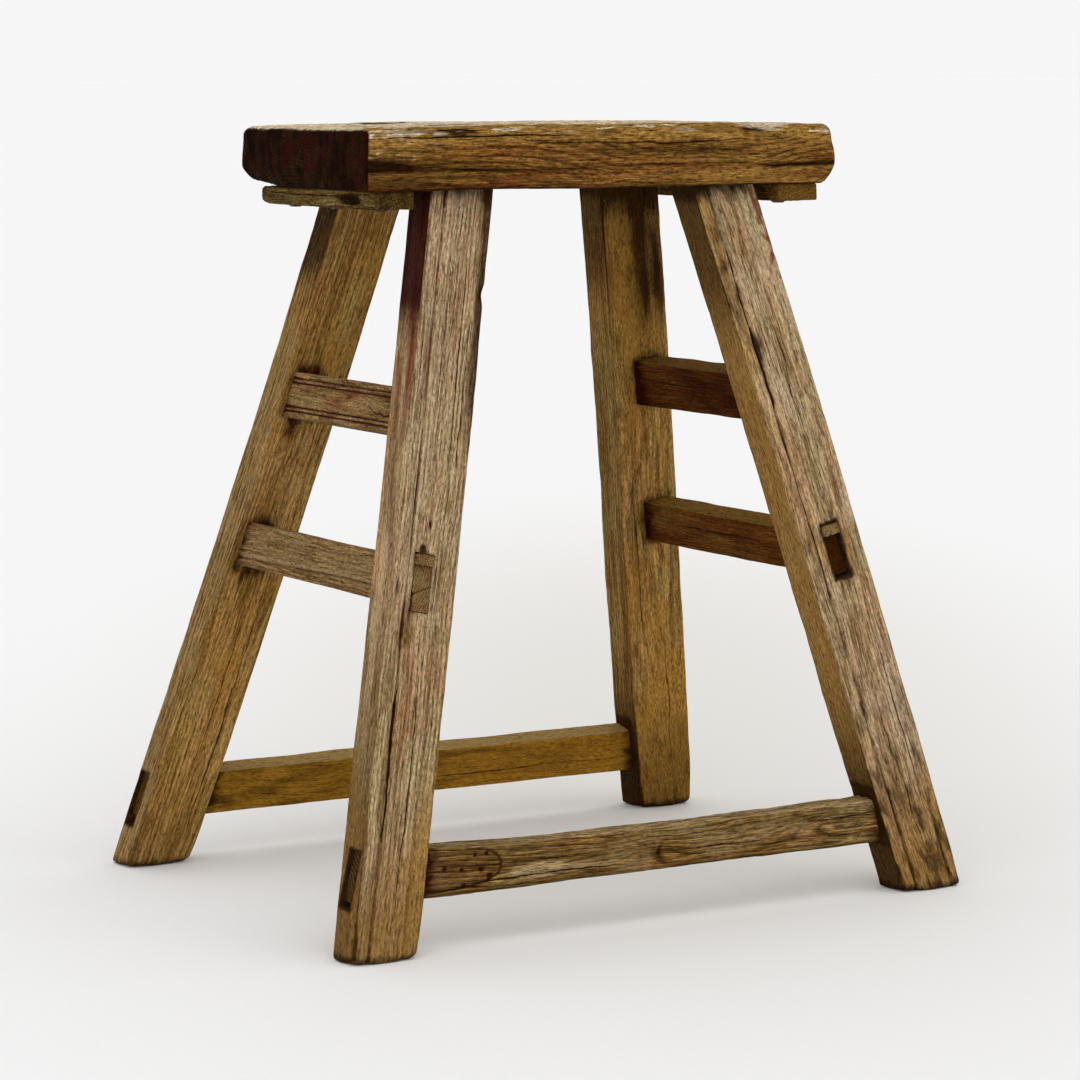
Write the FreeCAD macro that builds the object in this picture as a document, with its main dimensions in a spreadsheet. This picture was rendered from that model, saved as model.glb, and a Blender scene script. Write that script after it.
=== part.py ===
import FreeCAD, Part
import os

import Sketcher
from FreeCAD import Placement, Rotation, Vector

# A splay-legged wooden work stool. A thick plank seat stands on four raking legs whose tenons
# run right through it and are spread by wedges. Two rungs join the legs at each short end and
# a low stretcher joins them along each long side. A thin cleat is nailed under each seat end.
#
# Frame: X along the seat, Y from front to back, Z up, origin on the floor midway between the
# feet. Lengths are in millimetres and angles in degrees. A side is -1 (left or front) or +1
# (right or back). "Outboard" is away from the middle of the stool.

SIZES = [
    # alias, value, meaning
    ("foot_x", 207.5, "foot centre from the middle, along X"),
    ("foot_y", 168.9, "foot centre from the middle, along Y"),
    ("lean_left", 13.5, "sideways lean of the left legs"),
    ("lean_right", 12.6, "sideways lean of the right legs"),
    ("lean_front", 12.7, "lean of the front legs towards the back"),
    ("lean_back", 13.3, "lean of the back legs towards the front"),
    ("leg_width", 46.5, "level section of a leg, along X"),
    ("leg_depth", 28, "level section of a leg, along Y"),
    ("leg_arris", 2, "bevel on the long corners of a leg"),
    ("bead_width", 11, "edge bead on the face of a front leg"),
    ("groove_width", 2.4, "groove beside that bead"),
    ("groove_depth", 1.2, "depth of that groove"),
    ("leg_tenon_width", 30, "leg tenon in the seat, along X"),
    ("leg_tenon_depth", 15, "leg tenon in the seat, along Y"),
    ("seat_underside", 470, "height of the seat's underside"),
    ("seat_length", 352, "seat plank along X"),
    ("seat_width", 174, "seat plank along Y"),
    ("seat_thickness", 40, "seat plank along Z"),
    ("seat_shift_x", 5.2, "seat centre from the middle, along X"),
    ("seat_shift_y", -3.1, "seat centre from the middle, along Y"),
    ("seat_corner", 5, "radius of the seat's upright corners"),
    ("seat_top_round", 6, "radius of the seat's top edges"),
    ("seat_bevel_in", 7, "bevel under the seat, across the underside"),
    ("seat_bevel_up", 13, "bevel under the seat, up its sides"),
    ("seat_wedge_head", 3.6, "seat wedge thickness at the top"),
    ("seat_wedge_tip", 0.8, "seat wedge thickness at its tip"),
    ("seat_wedge_length", 27, "seat wedge length"),
    ("rung_upper_level", 328, "centre height of an upper rung"),
    ("rung_lower_level", 224, "centre height of a lower rung"),
    ("rung_outboard", 5.7, "rung centre outboard of the leg axes"),
    ("rung_thickness", 20, "rung section across"),
    ("rung_height", 31, "rung section up the legs"),
    ("rung_tenon_outboard", 1.8, "rung tenon centre outboard of the leg axes"),
    ("rung_tenon_thickness", 12.6, "rung tenon section across"),
    ("rung_tenon_height", 29, "rung tenon section up the legs"),
    ("rung_tenon_blind", 18, "depth of an upper rung's blind tenon"),
    ("rung_wedge_head", 7.5, "rung wedge thickness at the outer face"),
    ("rung_wedge_tip", 2, "rung wedge thickness at the inner face"),
    ("rung_wedge_inset", 1, "how far a rung wedge stops short of each face"),
    ("front_level", 50.5, "centre height of the front stretcher"),
    ("front_outboard", -2, "front stretcher centre outboard of the leg axes"),
    ("front_thickness", 19, "front stretcher section, along Y"),
    ("front_height", 33, "front stretcher section, along Z"),
    ("front_tenon_outboard", 0, "front stretcher tenon centre outboard of the leg axes"),
    ("front_tilt", 0, "the front stretcher stands upright"),
    ("back_level", 48, "centre height of the back stretcher"),
    ("back_outboard", 4.6, "back stretcher centre outboard of the leg axes"),
    ("back_thickness", 17.5, "back stretcher section across"),
    ("back_height", 33.5, "back stretcher section up the legs"),
    ("back_tenon_outboard", 4.6, "back stretcher tenon centre outboard of the leg axes"),
    ("stretcher_tenon_thickness", 12.8, "stretcher tenon section across"),
    ("stretcher_tenon_cut", 1, "shoulder above and below a stretcher tenon"),
    ("cleat_offset", 152, "cleat centre from the seat centre, along X"),
    ("cleat_width", 28, "cleat along X"),
    ("cleat_length", 164, "cleat along Y"),
    ("cleat_thickness", 11.5, "cleat along Z"),
    ("cleat_bevel", 2, "bevel on the cleat's lower edges"),
    ("nail_spacing", 60, "nail to nail along a cleat"),
    ("nail_length", 34, "nail shank length"),
    ("nail_root", 1.7, "half the nail's width under its head"),
    ("nail_tip", 0.6, "half the nail's width at its tip"),
    ("nail_head", 4.5, "half the width of the nail's head"),
    ("nail_head_crown", 2.4, "half the width of the head's crown"),
    ("nail_head_height", 2, "height of the nail's head"),
    ("gap", 0.12, "clearance on each cheek of a joint"),
]

LEFT_RIGHT = {-1: "left", 1: "right"}
FRONT_BACK = {-1: "front", 1: "back"}
NAILS_PER_CLEAT = 3
BEYOND = "40"  # how far a cutter runs past the leg that it cuts
SLOT_OVERRUN = "3"  # how far the rung wedge's slot runs past each face of the leg
KERF_OVERRUN = "1"  # how far the seat wedge's kerf runs past each cheek of the tenon
NEAR = 0.01  # corners this close to a level lie on it
LEAST_CUT = 0.01  # a cut that takes less than this, in cubic millimetres, cuts nothing

doc = FreeCAD.newDocument("stool")
sheet = doc.addObject("Spreadsheet::Sheet", "sizes")
for row, (alias, value, meaning) in enumerate(SIZES, 1):
    sheet.set(f"A{row}", f"'{meaning}")
    sheet.set(f"B{row}", str(value))
    sheet.setAlias(f"B{row}", alias)
doc.recompute()


# ---- expressions ---------------------------------------------------------------------------

def size(alias):
    return f"sizes.{alias}"


def lean_x(side_x):
    return size("lean_left" if side_x < 0 else "lean_right")


def lean_y(side_y):
    return size("lean_front" if side_y < 0 else "lean_back")


def leg_x(side_x, height):
    """X of a leg's axis at a height."""
    return f"({side_x} * (sizes.foot_x - tan({lean_x(side_x)}) * ({height})))"


def leg_y(side_y, height):
    """Y of a leg's axis at a height."""
    return f"({side_y} * (sizes.foot_y - tan({lean_y(side_y)}) * ({height})))"


def run_x(side_x):
    """How far a leg moves along X for each millimetre up."""
    return f"({-side_x} * tan({lean_x(side_x)}))"


def run_y(side_y):
    """How far a leg moves along Y for each millimetre up."""
    return f"({-side_y} * tan({lean_y(side_y)}))"


def tilted(side, lean, out, up):
    """A section point, out outboard and up along a leg that leans by lean, as level and upright."""
    level = f"{side} * (({out}) * cos({lean}) - ({up}) * sin({lean}))"
    return level, f"({out}) * sin({lean}) + ({up}) * cos({lean})"


def tilted_rectangle(side, lean, out, thickness, height):
    """The corners of a bar's section, centred out outboard of the bar's own axis."""
    half_t, half_h = f"({thickness}) / 2", f"({height}) / 2"
    corners = [(-1, -1), (1, -1), (1, 1), (-1, 1)]
    return [tilted(side, lean, f"{out} + ({a}) * {half_t}", f"({b}) * {half_h}") for a, b in corners]


def rectangle(width, depth):
    """The corners of a rectangle round the origin."""
    corners = [(-1, -1), (1, -1), (1, 1), (-1, 1)]
    return [(f"({a}) * ({width}) / 2", f"({b}) * ({depth}) / 2") for a, b in corners]


# ---- features ------------------------------------------------------------------------------

def new_body(label, x="0", y="0", z="0", turn="0"):
    """A body whose own frame stands at x, y, z in the stool, turned about Y."""
    body = doc.addObject("PartDesign::Body", label)
    body.Label = label
    body.AllowCompound = True
    body.Placement = Placement(Vector(0, 0, 0), Rotation(Vector(0, 1, 0), 1))
    for axis, expression in zip("xyz", (x, y, z)):
        body.setExpression(f".Placement.Base.{axis}", expression)
    body.setExpression(".Placement.Rotation.Angle", turn)
    return body


def attach(feature, body, plane, x="0", y="0", z="0", spin_axis=Vector(0, 0, 1), spin="0"):
    """Attach a sketch or primitive to one of its body's origin planes, moved by x, y, z."""
    support = next(o for o in body.Origin.OriginFeatures if o.Role == plane)
    feature.AttachmentSupport = [(support, "")]
    feature.MapMode = "FlatFace"
    feature.AttachmentOffset = Placement(Vector(0, 0, 0), Rotation(spin_axis, 1))
    for axis, expression in zip("xyz", (x, y, z)):
        feature.setExpression(f".AttachmentOffset.Base.{axis}", expression)
    feature.setExpression(".AttachmentOffset.Rotation.Angle", spin)


def polygon_sketch(body, name, plane, outlines, **offset):
    """A sketch of closed outlines, each a list of (x, y) expressions, every corner dimensioned."""
    sketch = body.newObject("Sketcher::SketchObject", name)
    attach(sketch, body, plane, **offset)
    for outline in outlines:
        first = sketch.GeometryCount
        count = len(outline)
        start = [Vector(*(float(sheet.evalExpression(e)) for e in point), 0) for point in outline]
        for i in range(count):
            sketch.addGeometry(Part.LineSegment(start[i], start[(i + 1) % count]))
        for i in range(count):
            joined = (first + i, 2, first + (i + 1) % count, 1)
            sketch.addConstraint(Sketcher.Constraint("Coincident", *joined))
        for i, (corner, point) in enumerate(zip(start, outline)):
            for kind, value, expression in zip(("DistanceX", "DistanceY"), corner, point):
                dimension = Sketcher.Constraint(kind, -1, 1, first + i, 1, value)
                index = sketch.addConstraint(dimension)
                sketch.setExpression(f"Constraints[{index}]", expression)
    return sketch


def aim(feature, direction):
    """Run a pad or pocket along a slanting direction, its length still measured square on."""
    feature.UseCustomVector = True
    feature.AlongSketchNormal = True
    feature.Direction = Vector(0, 0, 1)
    for axis, expression in zip("xyz", direction):
        feature.setExpression(f"Direction.{axis}", expression)


def pad(body, name, sketch, length, direction=None, symmetric=False):
    feature = body.newObject("PartDesign::Pad", name)
    feature.Profile = sketch
    feature.setExpression("Length", length)
    if symmetric:
        feature.SideType = "Symmetric"
    if direction:
        aim(feature, direction)
    return feature


def pocket(body, name, sketch, length=None, direction=None, symmetric=False, flip=False):
    """A pocket of a length, or right through when no length is given."""
    feature = body.newObject("PartDesign::Pocket", name)
    feature.Profile = sketch
    feature.Reversed = flip
    if symmetric:
        feature.SideType = "Symmetric"
    if length:
        feature.setExpression("Length", length)
    else:
        feature.Type = "ThroughAll"
    if direction:
        aim(feature, direction)
    return feature


def wedge(body, name, first, last, cut=False, **offset):
    """A tapering block between two rectangles, each given as (y, xmin, xmax, zmin, zmax)."""
    kind = "SubtractiveWedge" if cut else "AdditiveWedge"
    feature = body.newObject(f"PartDesign::{kind}", name)
    ends = (("Ymin", "Xmin", "Xmax", "Zmin", "Zmax"), ("Ymax", "X2min", "X2max", "Z2min", "Z2max"))
    for names, values in zip(ends, (first, last)):
        for key, expression in zip(names, values):
            feature.setExpression(key, expression)
    offset.setdefault("plane", "XY_Plane")
    attach(feature, body, **offset)
    return feature


def square_end(height, half, x="0", y="0"):
    """The end of an upright taper: a square of half-width half round x, y (see upright)."""
    return height, f"{x} - ({half})", f"{x} + ({half})", f"-({y}) - ({half})", f"-({y}) + ({half})"


def upright(x="0", y="0", z="0"):
    """The offset that turns a wedge's own Y up, so that its own Z runs along -Y."""
    return dict(x=x, y=y, z=z, spin_axis=Vector(1, 0, 0), spin="90")


def row_along_y(body, name, originals, spacing, count):
    """Repeat features along Y, spaced evenly, from where they stand."""
    feature = body.newObject("PartDesign::LinearPattern", name)
    feature.Originals = originals
    axis = next(o for o in body.Origin.OriginFeatures if o.Role == "Y_Axis")
    feature.Direction = (axis, [""])
    feature.setExpression("Length", f"({spacing}) * {count - 1}")
    feature.Occurrences = count
    body.Tip = feature
    return feature


def edges_where(feature, test, rising=False):
    """The names of a feature's edges whose every corner passes a test, level ones or rising."""
    return [f"Edge{i}" for i, edge in enumerate(feature.Shape.Edges, 1)
            if all(test(vertex.Point) for vertex in edge.Vertexes)
            and (edge.BoundBox.ZLength > NEAR) == rising]


# ---- legs ----------------------------------------------------------------------------------

def leg_outline(grooved):
    """A leg's level section round its axis. A front leg has a groove beside each edge bead."""
    half_w, half_d, arris = "sizes.leg_width / 2", "sizes.leg_depth / 2", "sizes.leg_arris"
    face = [(f"-{half_w} + {arris}", f"-{half_d}")]
    if grooved:
        for side in (-1, 1):
            middle = f"{side} * ({half_w} - sizes.bead_width)"
            face += [(f"{middle} - sizes.groove_width / 2", f"-{half_d}"),
                     (middle, f"-{half_d} + sizes.groove_depth"),
                     (f"{middle} + sizes.groove_width / 2", f"-{half_d}")]
    face += [(f"{half_w} - {arris}", f"-{half_d}")]
    rest = [(half_w, f"-{half_d} + {arris}"), (half_w, f"{half_d} - {arris}"),
            (f"{half_w} - {arris}", half_d), (f"-{half_w} + {arris}", half_d),
            (f"-{half_w}", f"{half_d} - {arris}"), (f"-{half_w}", f"-{half_d} + {arris}")]
    return face + rest


def near_face_y(side_y, height):
    """Y of the face of a leg that looks at the middle of the stool."""
    return f"({leg_y(side_y, height)} - ({side_y}) * sizes.leg_depth / 2)"


def near_face_x(side_x, height):
    return f"({leg_x(side_x, height)} - ({side_x}) * sizes.leg_width / 2)"


def rung_mortise(body, side_x, side_y, name, level, depth):
    """A mortise along Y for a rung's tenon, right through the leg when depth is None."""
    off_axis = "sizes.rung_tenon_outboard - sizes.rung_outboard"
    outline = tilted_rectangle(side_x, lean_x(side_x), off_axis,
                               "sizes.rung_tenon_thickness + 2 * sizes.gap",
                               "sizes.rung_tenon_height + 2 * sizes.gap")
    centre_x = f"{leg_x(side_x, level)} - {leg_x(side_x, 0)} + ({side_x}) * sizes.rung_outboard"
    sketch = polygon_sketch(body, f"{name}_outline", "XZ_Plane", [outline],
                            x=centre_x, y=level, z=leg_y(side_y, 0))
    if depth:
        lowest = f"({level}) - sizes.rung_height / 2"
        depth = f"abs({near_face_y(side_y, lowest)}) + {depth} + 2 * sizes.gap"
    return pocket(body, name, sketch, depth, flip=side_y < 0)


def stretcher_mortise(body, side_x, side_y, name):
    """The mortise along X for a stretcher's through tenon."""
    end = FRONT_BACK[side_y]
    tilt = stretcher_tilt(side_y)
    off_axis = f"sizes.{end}_tenon_outboard - sizes.{end}_outboard"
    height = f"sizes.{end}_height - 2 * sizes.stretcher_tenon_cut + 2 * sizes.gap"
    outline = tilted_rectangle(side_y, tilt, off_axis,
                               "sizes.stretcher_tenon_thickness + 2 * sizes.gap", height)
    level = size(f"{end}_level")
    centre_y = f"{leg_y(side_y, level)} - {leg_y(side_y, 0)} + ({side_y}) * sizes.{end}_outboard"
    sketch = polygon_sketch(body, f"{name}_outline", "YZ_Plane", [outline],
                            x=centre_y, y=level, z=f"-{leg_x(side_x, 0)}")
    return pocket(body, name, sketch, flip=side_x > 0)


def stretcher_tilt(side_y):
    """The front stretcher stands upright, and the back one leans with its legs."""
    return size("front_tilt") if side_y < 0 else lean_y(side_y)


def rung_wedge_ends(side_x, side_y, overrun, gap):
    """The two ends of the taper above a rung's through tenon, in the leaning frame of the rung."""
    middle = f"({side_x}) * (sizes.rung_tenon_outboard - sizes.rung_outboard)"
    half = f"(sizes.rung_tenon_thickness / 2 + {gap})"
    foot = f"sizes.rung_tenon_height / 2 - {gap}"
    growth = "(sizes.rung_wedge_head - sizes.rung_wedge_tip) / sizes.leg_depth"

    def end(along):
        thickness = f"sizes.rung_wedge_tip + {growth} * ({along}) + {gap}"
        top = f"sizes.rung_tenon_height / 2 + {thickness}"
        return (f"({side_y}) * ({along})", f"{middle} - {half}", f"{middle} + {half}", foot, top)

    ends = [end(f"-({overrun})"), end(f"sizes.leg_depth + {overrun}")]
    return ends if side_y > 0 else ends[::-1]


def seat_wedge_ends(side_x, side_y, gap, overrun):
    """The tip and the head of the taper in a leg's tenon, hung from the middle of its top."""
    half_y = f"(sizes.leg_tenon_depth / 2 + {overrun})"

    def end(drop, thickness):
        x, y = f"-({run_x(side_x)}) * ({drop})", f"-({run_y(side_y)}) * ({drop})"
        half_x = f"({thickness} / 2 + {gap})"
        return (f"-({drop})", f"{x} - {half_x}", f"{x} + {half_x}",
                f"-({y}) - {half_y}", f"-({y}) + {half_y}")

    return end(f"sizes.seat_wedge_length + {overrun} / 2", "sizes.seat_wedge_tip"), \
        end("0", "sizes.seat_wedge_head")


def make_leg(side_x, side_y):
    """A raking leg in a frame at the middle of its foot: shaft, tenon, mortises and wedge slots."""
    body = new_body(f"leg_{FRONT_BACK[side_y]}_{LEFT_RIGHT[side_x]}",
                    leg_x(side_x, 0), leg_y(side_y, 0))
    rake = (run_x(side_x), run_y(side_y), "1")
    section = polygon_sketch(body, "section", "XY_Plane", [leg_outline(side_y < 0)])
    pad(body, "shaft", section, "sizes.seat_underside", rake)

    def axis_at(height):
        return f"{rake[0]} * {height}", f"{rake[1]} * {height}"

    x, y = axis_at("sizes.seat_underside")
    tenon_section = polygon_sketch(
        body, "tenon_section", "XY_Plane",
        [rectangle("sizes.leg_tenon_width", "sizes.leg_tenon_depth")],
        x=x, y=y, z="sizes.seat_underside")
    pad(body, "tenon", tenon_section, "sizes.seat_thickness", rake)

    rung_mortise(body, side_x, side_y, "upper_mortise", "sizes.rung_upper_level",
                 "sizes.rung_tenon_blind")
    rung_mortise(body, side_x, side_y, "lower_mortise", "sizes.rung_lower_level", None)
    stretcher_mortise(body, side_x, side_y, "stretcher_mortise")

    level = "sizes.rung_lower_level"
    wedge(body, "rung_wedge_slot", *rung_wedge_ends(side_x, side_y, SLOT_OVERRUN, "sizes.gap"), cut=True,
          x=f"{leg_x(side_x, level)} - {leg_x(side_x, 0)} + ({side_x}) * sizes.rung_outboard",
          y=f"{near_face_y(side_y, level)} - {leg_y(side_y, 0)}", z=level,
          spin_axis=Vector(0, 1, 0), spin=f"{-side_x} * {lean_x(side_x)}")
    x, y = axis_at("(sizes.seat_underside + sizes.seat_thickness)")
    wedge(body, "seat_wedge_kerf", *seat_wedge_ends(side_x, side_y, "sizes.gap / 2", KERF_OVERRUN),
          cut=True, **upright(x, y, "sizes.seat_underside + sizes.seat_thickness"))
    return body


# ---- rungs and stretchers ------------------------------------------------------------------

def trim_outlines(near_face, level, past):
    """Outlines that cut a bar's two ends parallel to the legs, past beyond their near faces."""
    outlines = []
    for side in (-1, 1):
        low, high = f"-({BEYOND})", BEYOND
        at_low = f"{near_face(side, f'{level} - {BEYOND}')} + ({side}) * ({past})"
        at_high = f"{near_face(side, f'{level} + {BEYOND}')} + ({side}) * ({past})"
        outside = f"({side}) * (sizes.foot_x + 2 * {BEYOND})"
        outlines.append([(at_low, low), (outside, low), (outside, high), (at_high, high)])
    return outlines


def cross_bar(body, planes, near_face, level, section, tenon, tenon_depth):
    """A bar shouldered against two leaning legs, with a tenon on each end."""
    section_plane, trim_plane = planes
    reach = "2 * (sizes.foot_x + sizes.leg_width)"
    bar_outline = polygon_sketch(body, "bar_outline", section_plane, [section])
    pad(body, "bar", bar_outline, reach, symmetric=True)
    shoulders = polygon_sketch(body, "shoulder_lines", trim_plane,
                               trim_outlines(near_face, level, "0"))
    pocket(body, "shoulders", shoulders, "sizes.foot_x", symmetric=True)
    tenon_outline = polygon_sketch(body, "tenon_outline", section_plane, [tenon])
    pad(body, "tenons", tenon_outline, reach, symmetric=True)
    tips = polygon_sketch(body, "tenon_lines", trim_plane,
                          trim_outlines(near_face, level, tenon_depth))
    pocket(body, "tenon_ends", tips, "sizes.foot_x", symmetric=True)
    return body


def make_rung(side_x, position):
    """A rung between a front and a back leg, tilted with the legs' sideways lean."""
    level = size(f"rung_{position}_level")
    body = new_body(f"rung_{position}_{LEFT_RIGHT[side_x]}",
                    f"{leg_x(side_x, level)} + ({side_x}) * sizes.rung_outboard", "0", level)
    lean = lean_x(side_x)
    section = tilted_rectangle(side_x, lean, "0", size("rung_thickness"), size("rung_height"))
    tenon = tilted_rectangle(side_x, lean, "sizes.rung_tenon_outboard - sizes.rung_outboard",
                             size("rung_tenon_thickness"), size("rung_tenon_height"))
    depth = size("rung_tenon_blind") if position == "upper" else size("leg_depth")
    return cross_bar(body, ("XZ_Plane", "YZ_Plane"), near_face_y, level, section, tenon, depth)


def make_stretcher(side_y):
    """A stretcher between the two front or the two back legs."""
    end = FRONT_BACK[side_y]
    level, tilt = size(f"{end}_level"), stretcher_tilt(side_y)
    body = new_body(f"stretcher_{end}", "0",
                    f"{leg_y(side_y, level)} + ({side_y}) * sizes.{end}_outboard", level)
    section = tilted_rectangle(side_y, tilt, "0", size(f"{end}_thickness"), size(f"{end}_height"))
    tenon = tilted_rectangle(side_y, tilt, f"sizes.{end}_tenon_outboard - sizes.{end}_outboard",
                             size("stretcher_tenon_thickness"),
                             f"sizes.{end}_height - 2 * sizes.stretcher_tenon_cut")
    return cross_bar(body, ("YZ_Plane", "XZ_Plane"), near_face_x, level, section, tenon,
                     size("leg_width"))


# ---- wedges --------------------------------------------------------------------------------

def make_rung_wedge(side_x, side_y):
    """The wedge driven in above a lower rung's through tenon."""
    level = "sizes.rung_lower_level"
    body = new_body(f"wedge_rung_{FRONT_BACK[side_y]}_{LEFT_RIGHT[side_x]}",
                    f"{leg_x(side_x, level)} + ({side_x}) * sizes.rung_outboard",
                    near_face_y(side_y, level), level, f"{-side_x} * {lean_x(side_x)}")
    wedge(body, "taper", *rung_wedge_ends(side_x, side_y, "-sizes.rung_wedge_inset", "0"))
    return body


def make_seat_wedge(side_x, side_y):
    """The wedge that spreads a leg's tenon in the seat, flush with the seat's top."""
    top = "(sizes.seat_underside + sizes.seat_thickness)"
    body = new_body(f"wedge_seat_{FRONT_BACK[side_y]}_{LEFT_RIGHT[side_x]}",
                    leg_x(side_x, top), leg_y(side_y, top), top)
    wedge(body, "taper", *seat_wedge_ends(side_x, side_y, "0", "0"), **upright())
    return body


# ---- seat, cleats and nails ----------------------------------------------------------------

def nail_shank(body, name, x, z, gap, cut):
    """A square tapering shank that points up, its root at height z under the first nail."""
    first_y = f"-sizes.nail_spacing * {(NAILS_PER_CLEAT - 1) / 2}"
    root = square_end(f"-({gap})", f"sizes.nail_root + {gap} / 2", x, first_y)
    tip = square_end(f"sizes.nail_length + {gap}", f"sizes.nail_tip + {gap} / 2", x, first_y)
    return wedge(body, name, root, tip, cut=cut, **upright(z=z))


def nail_row(body, name, features):
    return row_along_y(body, name, features, "sizes.nail_spacing", NAILS_PER_CLEAT)


def make_nails(side_x):
    """The forged nails that hold one cleat, heads down under it."""
    body = new_body(f"nails_cleat_{LEFT_RIGHT[side_x]}",
                    f"sizes.seat_shift_x + ({side_x}) * sizes.cleat_offset",
                    "sizes.seat_shift_y", "sizes.seat_underside - sizes.cleat_thickness")
    shank = nail_shank(body, "shank", "0", "0", "0", cut=False)
    first_y = f"-sizes.nail_spacing * {(NAILS_PER_CLEAT - 1) / 2}"
    crown = square_end("-sizes.nail_head_height", "sizes.nail_head_crown", "0", first_y)
    rim = square_end("0", "sizes.nail_head", "0", first_y)
    head = wedge(body, "head", crown, rim, **upright())
    doc.recompute()
    nail_row(body, "nail_row", [shank, head])
    return body


def make_cleat(side_x):
    """A thin bar across the seat's underside, outboard of the legs."""
    body = new_body(f"cleat_{LEFT_RIGHT[side_x]}",
                    f"sizes.seat_shift_x + ({side_x}) * sizes.cleat_offset",
                    "sizes.seat_shift_y", "sizes.seat_underside - sizes.cleat_thickness")
    outline = polygon_sketch(body, "outline", "XY_Plane",
                             [rectangle("sizes.cleat_width", "sizes.cleat_length")])
    board = pad(body, "board", outline, "sizes.cleat_thickness")
    doc.recompute()
    bevel = body.newObject("PartDesign::Chamfer", "bevel")
    bevel.Base = (board, edges_where(board, lambda p: abs(p.z) < NEAR))
    bevel.setExpression("Size", "sizes.cleat_bevel")
    hole = nail_shank(body, "nail_hole", "0", "0", "sizes.gap", cut=True)
    doc.recompute()
    nail_row(body, "nail_holes", [hole])
    return body


def make_seat():
    """The seat plank, from its underside: rounded above, bevelled below, mortised for the legs."""
    body = new_body("seat_plank", "sizes.seat_shift_x", "sizes.seat_shift_y",
                    "sizes.seat_underside")
    half_l, half_w = "sizes.seat_length / 2", "sizes.seat_width / 2"

    def level_end(height, inset):
        return (height, f"-({half_l}) + {inset}", f"{half_l} - {inset}",
                f"-({half_w}) + {inset}", f"{half_w} - {inset}")

    wedge(body, "bevelled_base", level_end("0", "sizes.seat_bevel_in"),
          level_end("sizes.seat_bevel_up", "0"), **upright())
    outline = polygon_sketch(body, "outline", "XY_Plane",
                             [rectangle("sizes.seat_length", "sizes.seat_width")],
                             z="sizes.seat_bevel_up")
    plank = pad(body, "plank", outline, "sizes.seat_thickness - sizes.seat_bevel_up")
    doc.recompute()

    corners = body.newObject("PartDesign::Fillet", "corners")
    corners.Base = (plank, edges_where(plank, lambda p: True, rising=True))
    corners.setExpression("Radius", "sizes.seat_corner")
    doc.recompute()

    thickness = float(sheet.get("seat_thickness"))
    rounding = body.newObject("PartDesign::Fillet", "top_rounding")
    rounding.Base = (corners, edges_where(corners, lambda p: abs(p.z - thickness) < NEAR))
    rounding.setExpression("Radius", "sizes.seat_top_round")

    for side_x in (-1, 1):
        for side_y in (-1, 1):
            name = f"mortise_{FRONT_BACK[side_y]}_{LEFT_RIGHT[side_x]}"
            mouth = rectangle("sizes.leg_tenon_width + 2 * sizes.gap",
                              "sizes.leg_tenon_depth + 2 * sizes.gap")
            sketch = polygon_sketch(
                body, f"{name}_outline", "XY_Plane", [mouth],
                x=f"{leg_x(side_x, 'sizes.seat_underside')} - sizes.seat_shift_x",
                y=f"{leg_y(side_y, 'sizes.seat_underside')} - sizes.seat_shift_y")
            pocket(body, name, sketch, "sizes.seat_thickness",
                   (run_x(side_x), run_y(side_y), "1"))
        end = LEFT_RIGHT[side_x]
        hole = nail_shank(body, f"nail_hole_{end}", f"({side_x}) * sizes.cleat_offset",
                          "-sizes.cleat_thickness", "sizes.gap", cut=True)
        doc.recompute()
        nail_row(body, f"nail_holes_{end}", [hole])
    return body


# ---- assembly, checks and files ------------------------------------------------------------

def check_cuts(body):
    """Every feature that takes wood away has to leave less of it than there was before."""
    before = None
    for feature in body.Group:
        if not hasattr(feature, "BaseFeature") or feature.Shape.isNull():
            continue
        volume = feature.Shape.Volume
        cuts = feature.TypeId.endswith(("Pocket", "SubtractiveWedge", "Chamfer"))
        if cuts and not volume < before - LEAST_CUT:
            raise RuntimeError(f"{body.Label}.{feature.Name} cuts nothing")
        before = volume


SIDES = [(side_x, side_y) for side_y in (-1, 1) for side_x in (-1, 1)]
parts = [make_seat()]
parts += [make_leg(*sides) for sides in SIDES]
parts += [make_rung(side_x, position) for position in ("upper", "lower") for side_x in (-1, 1)]
parts += [make_stretcher(side_y) for side_y in (-1, 1)]
parts += [make_cleat(side_x) for side_x in (-1, 1)]
parts += [make_nails(side_x) for side_x in (-1, 1)]
parts += [make_seat_wedge(*sides) for sides in SIDES]
parts += [make_rung_wedge(*sides) for sides in SIDES]
doc.recompute()

for item in doc.Objects:
    if {"Invalid", "Error"} & set(item.State):
        raise RuntimeError(f"{item.Name}: {item.State}")
for part in parts:
    if part.Shape.isNull() or not part.Shape.isValid():
        raise RuntimeError(f"{part.Label} has no valid shape")
    check_cuts(part)

os.makedirs("parts", exist_ok=True)
for part in parts:
    part.Shape.exportStep(f"parts/{part.Label}.step")
    print(part.Label, len(part.Shape.Solids), round(part.Shape.Volume))
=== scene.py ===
import math

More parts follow.
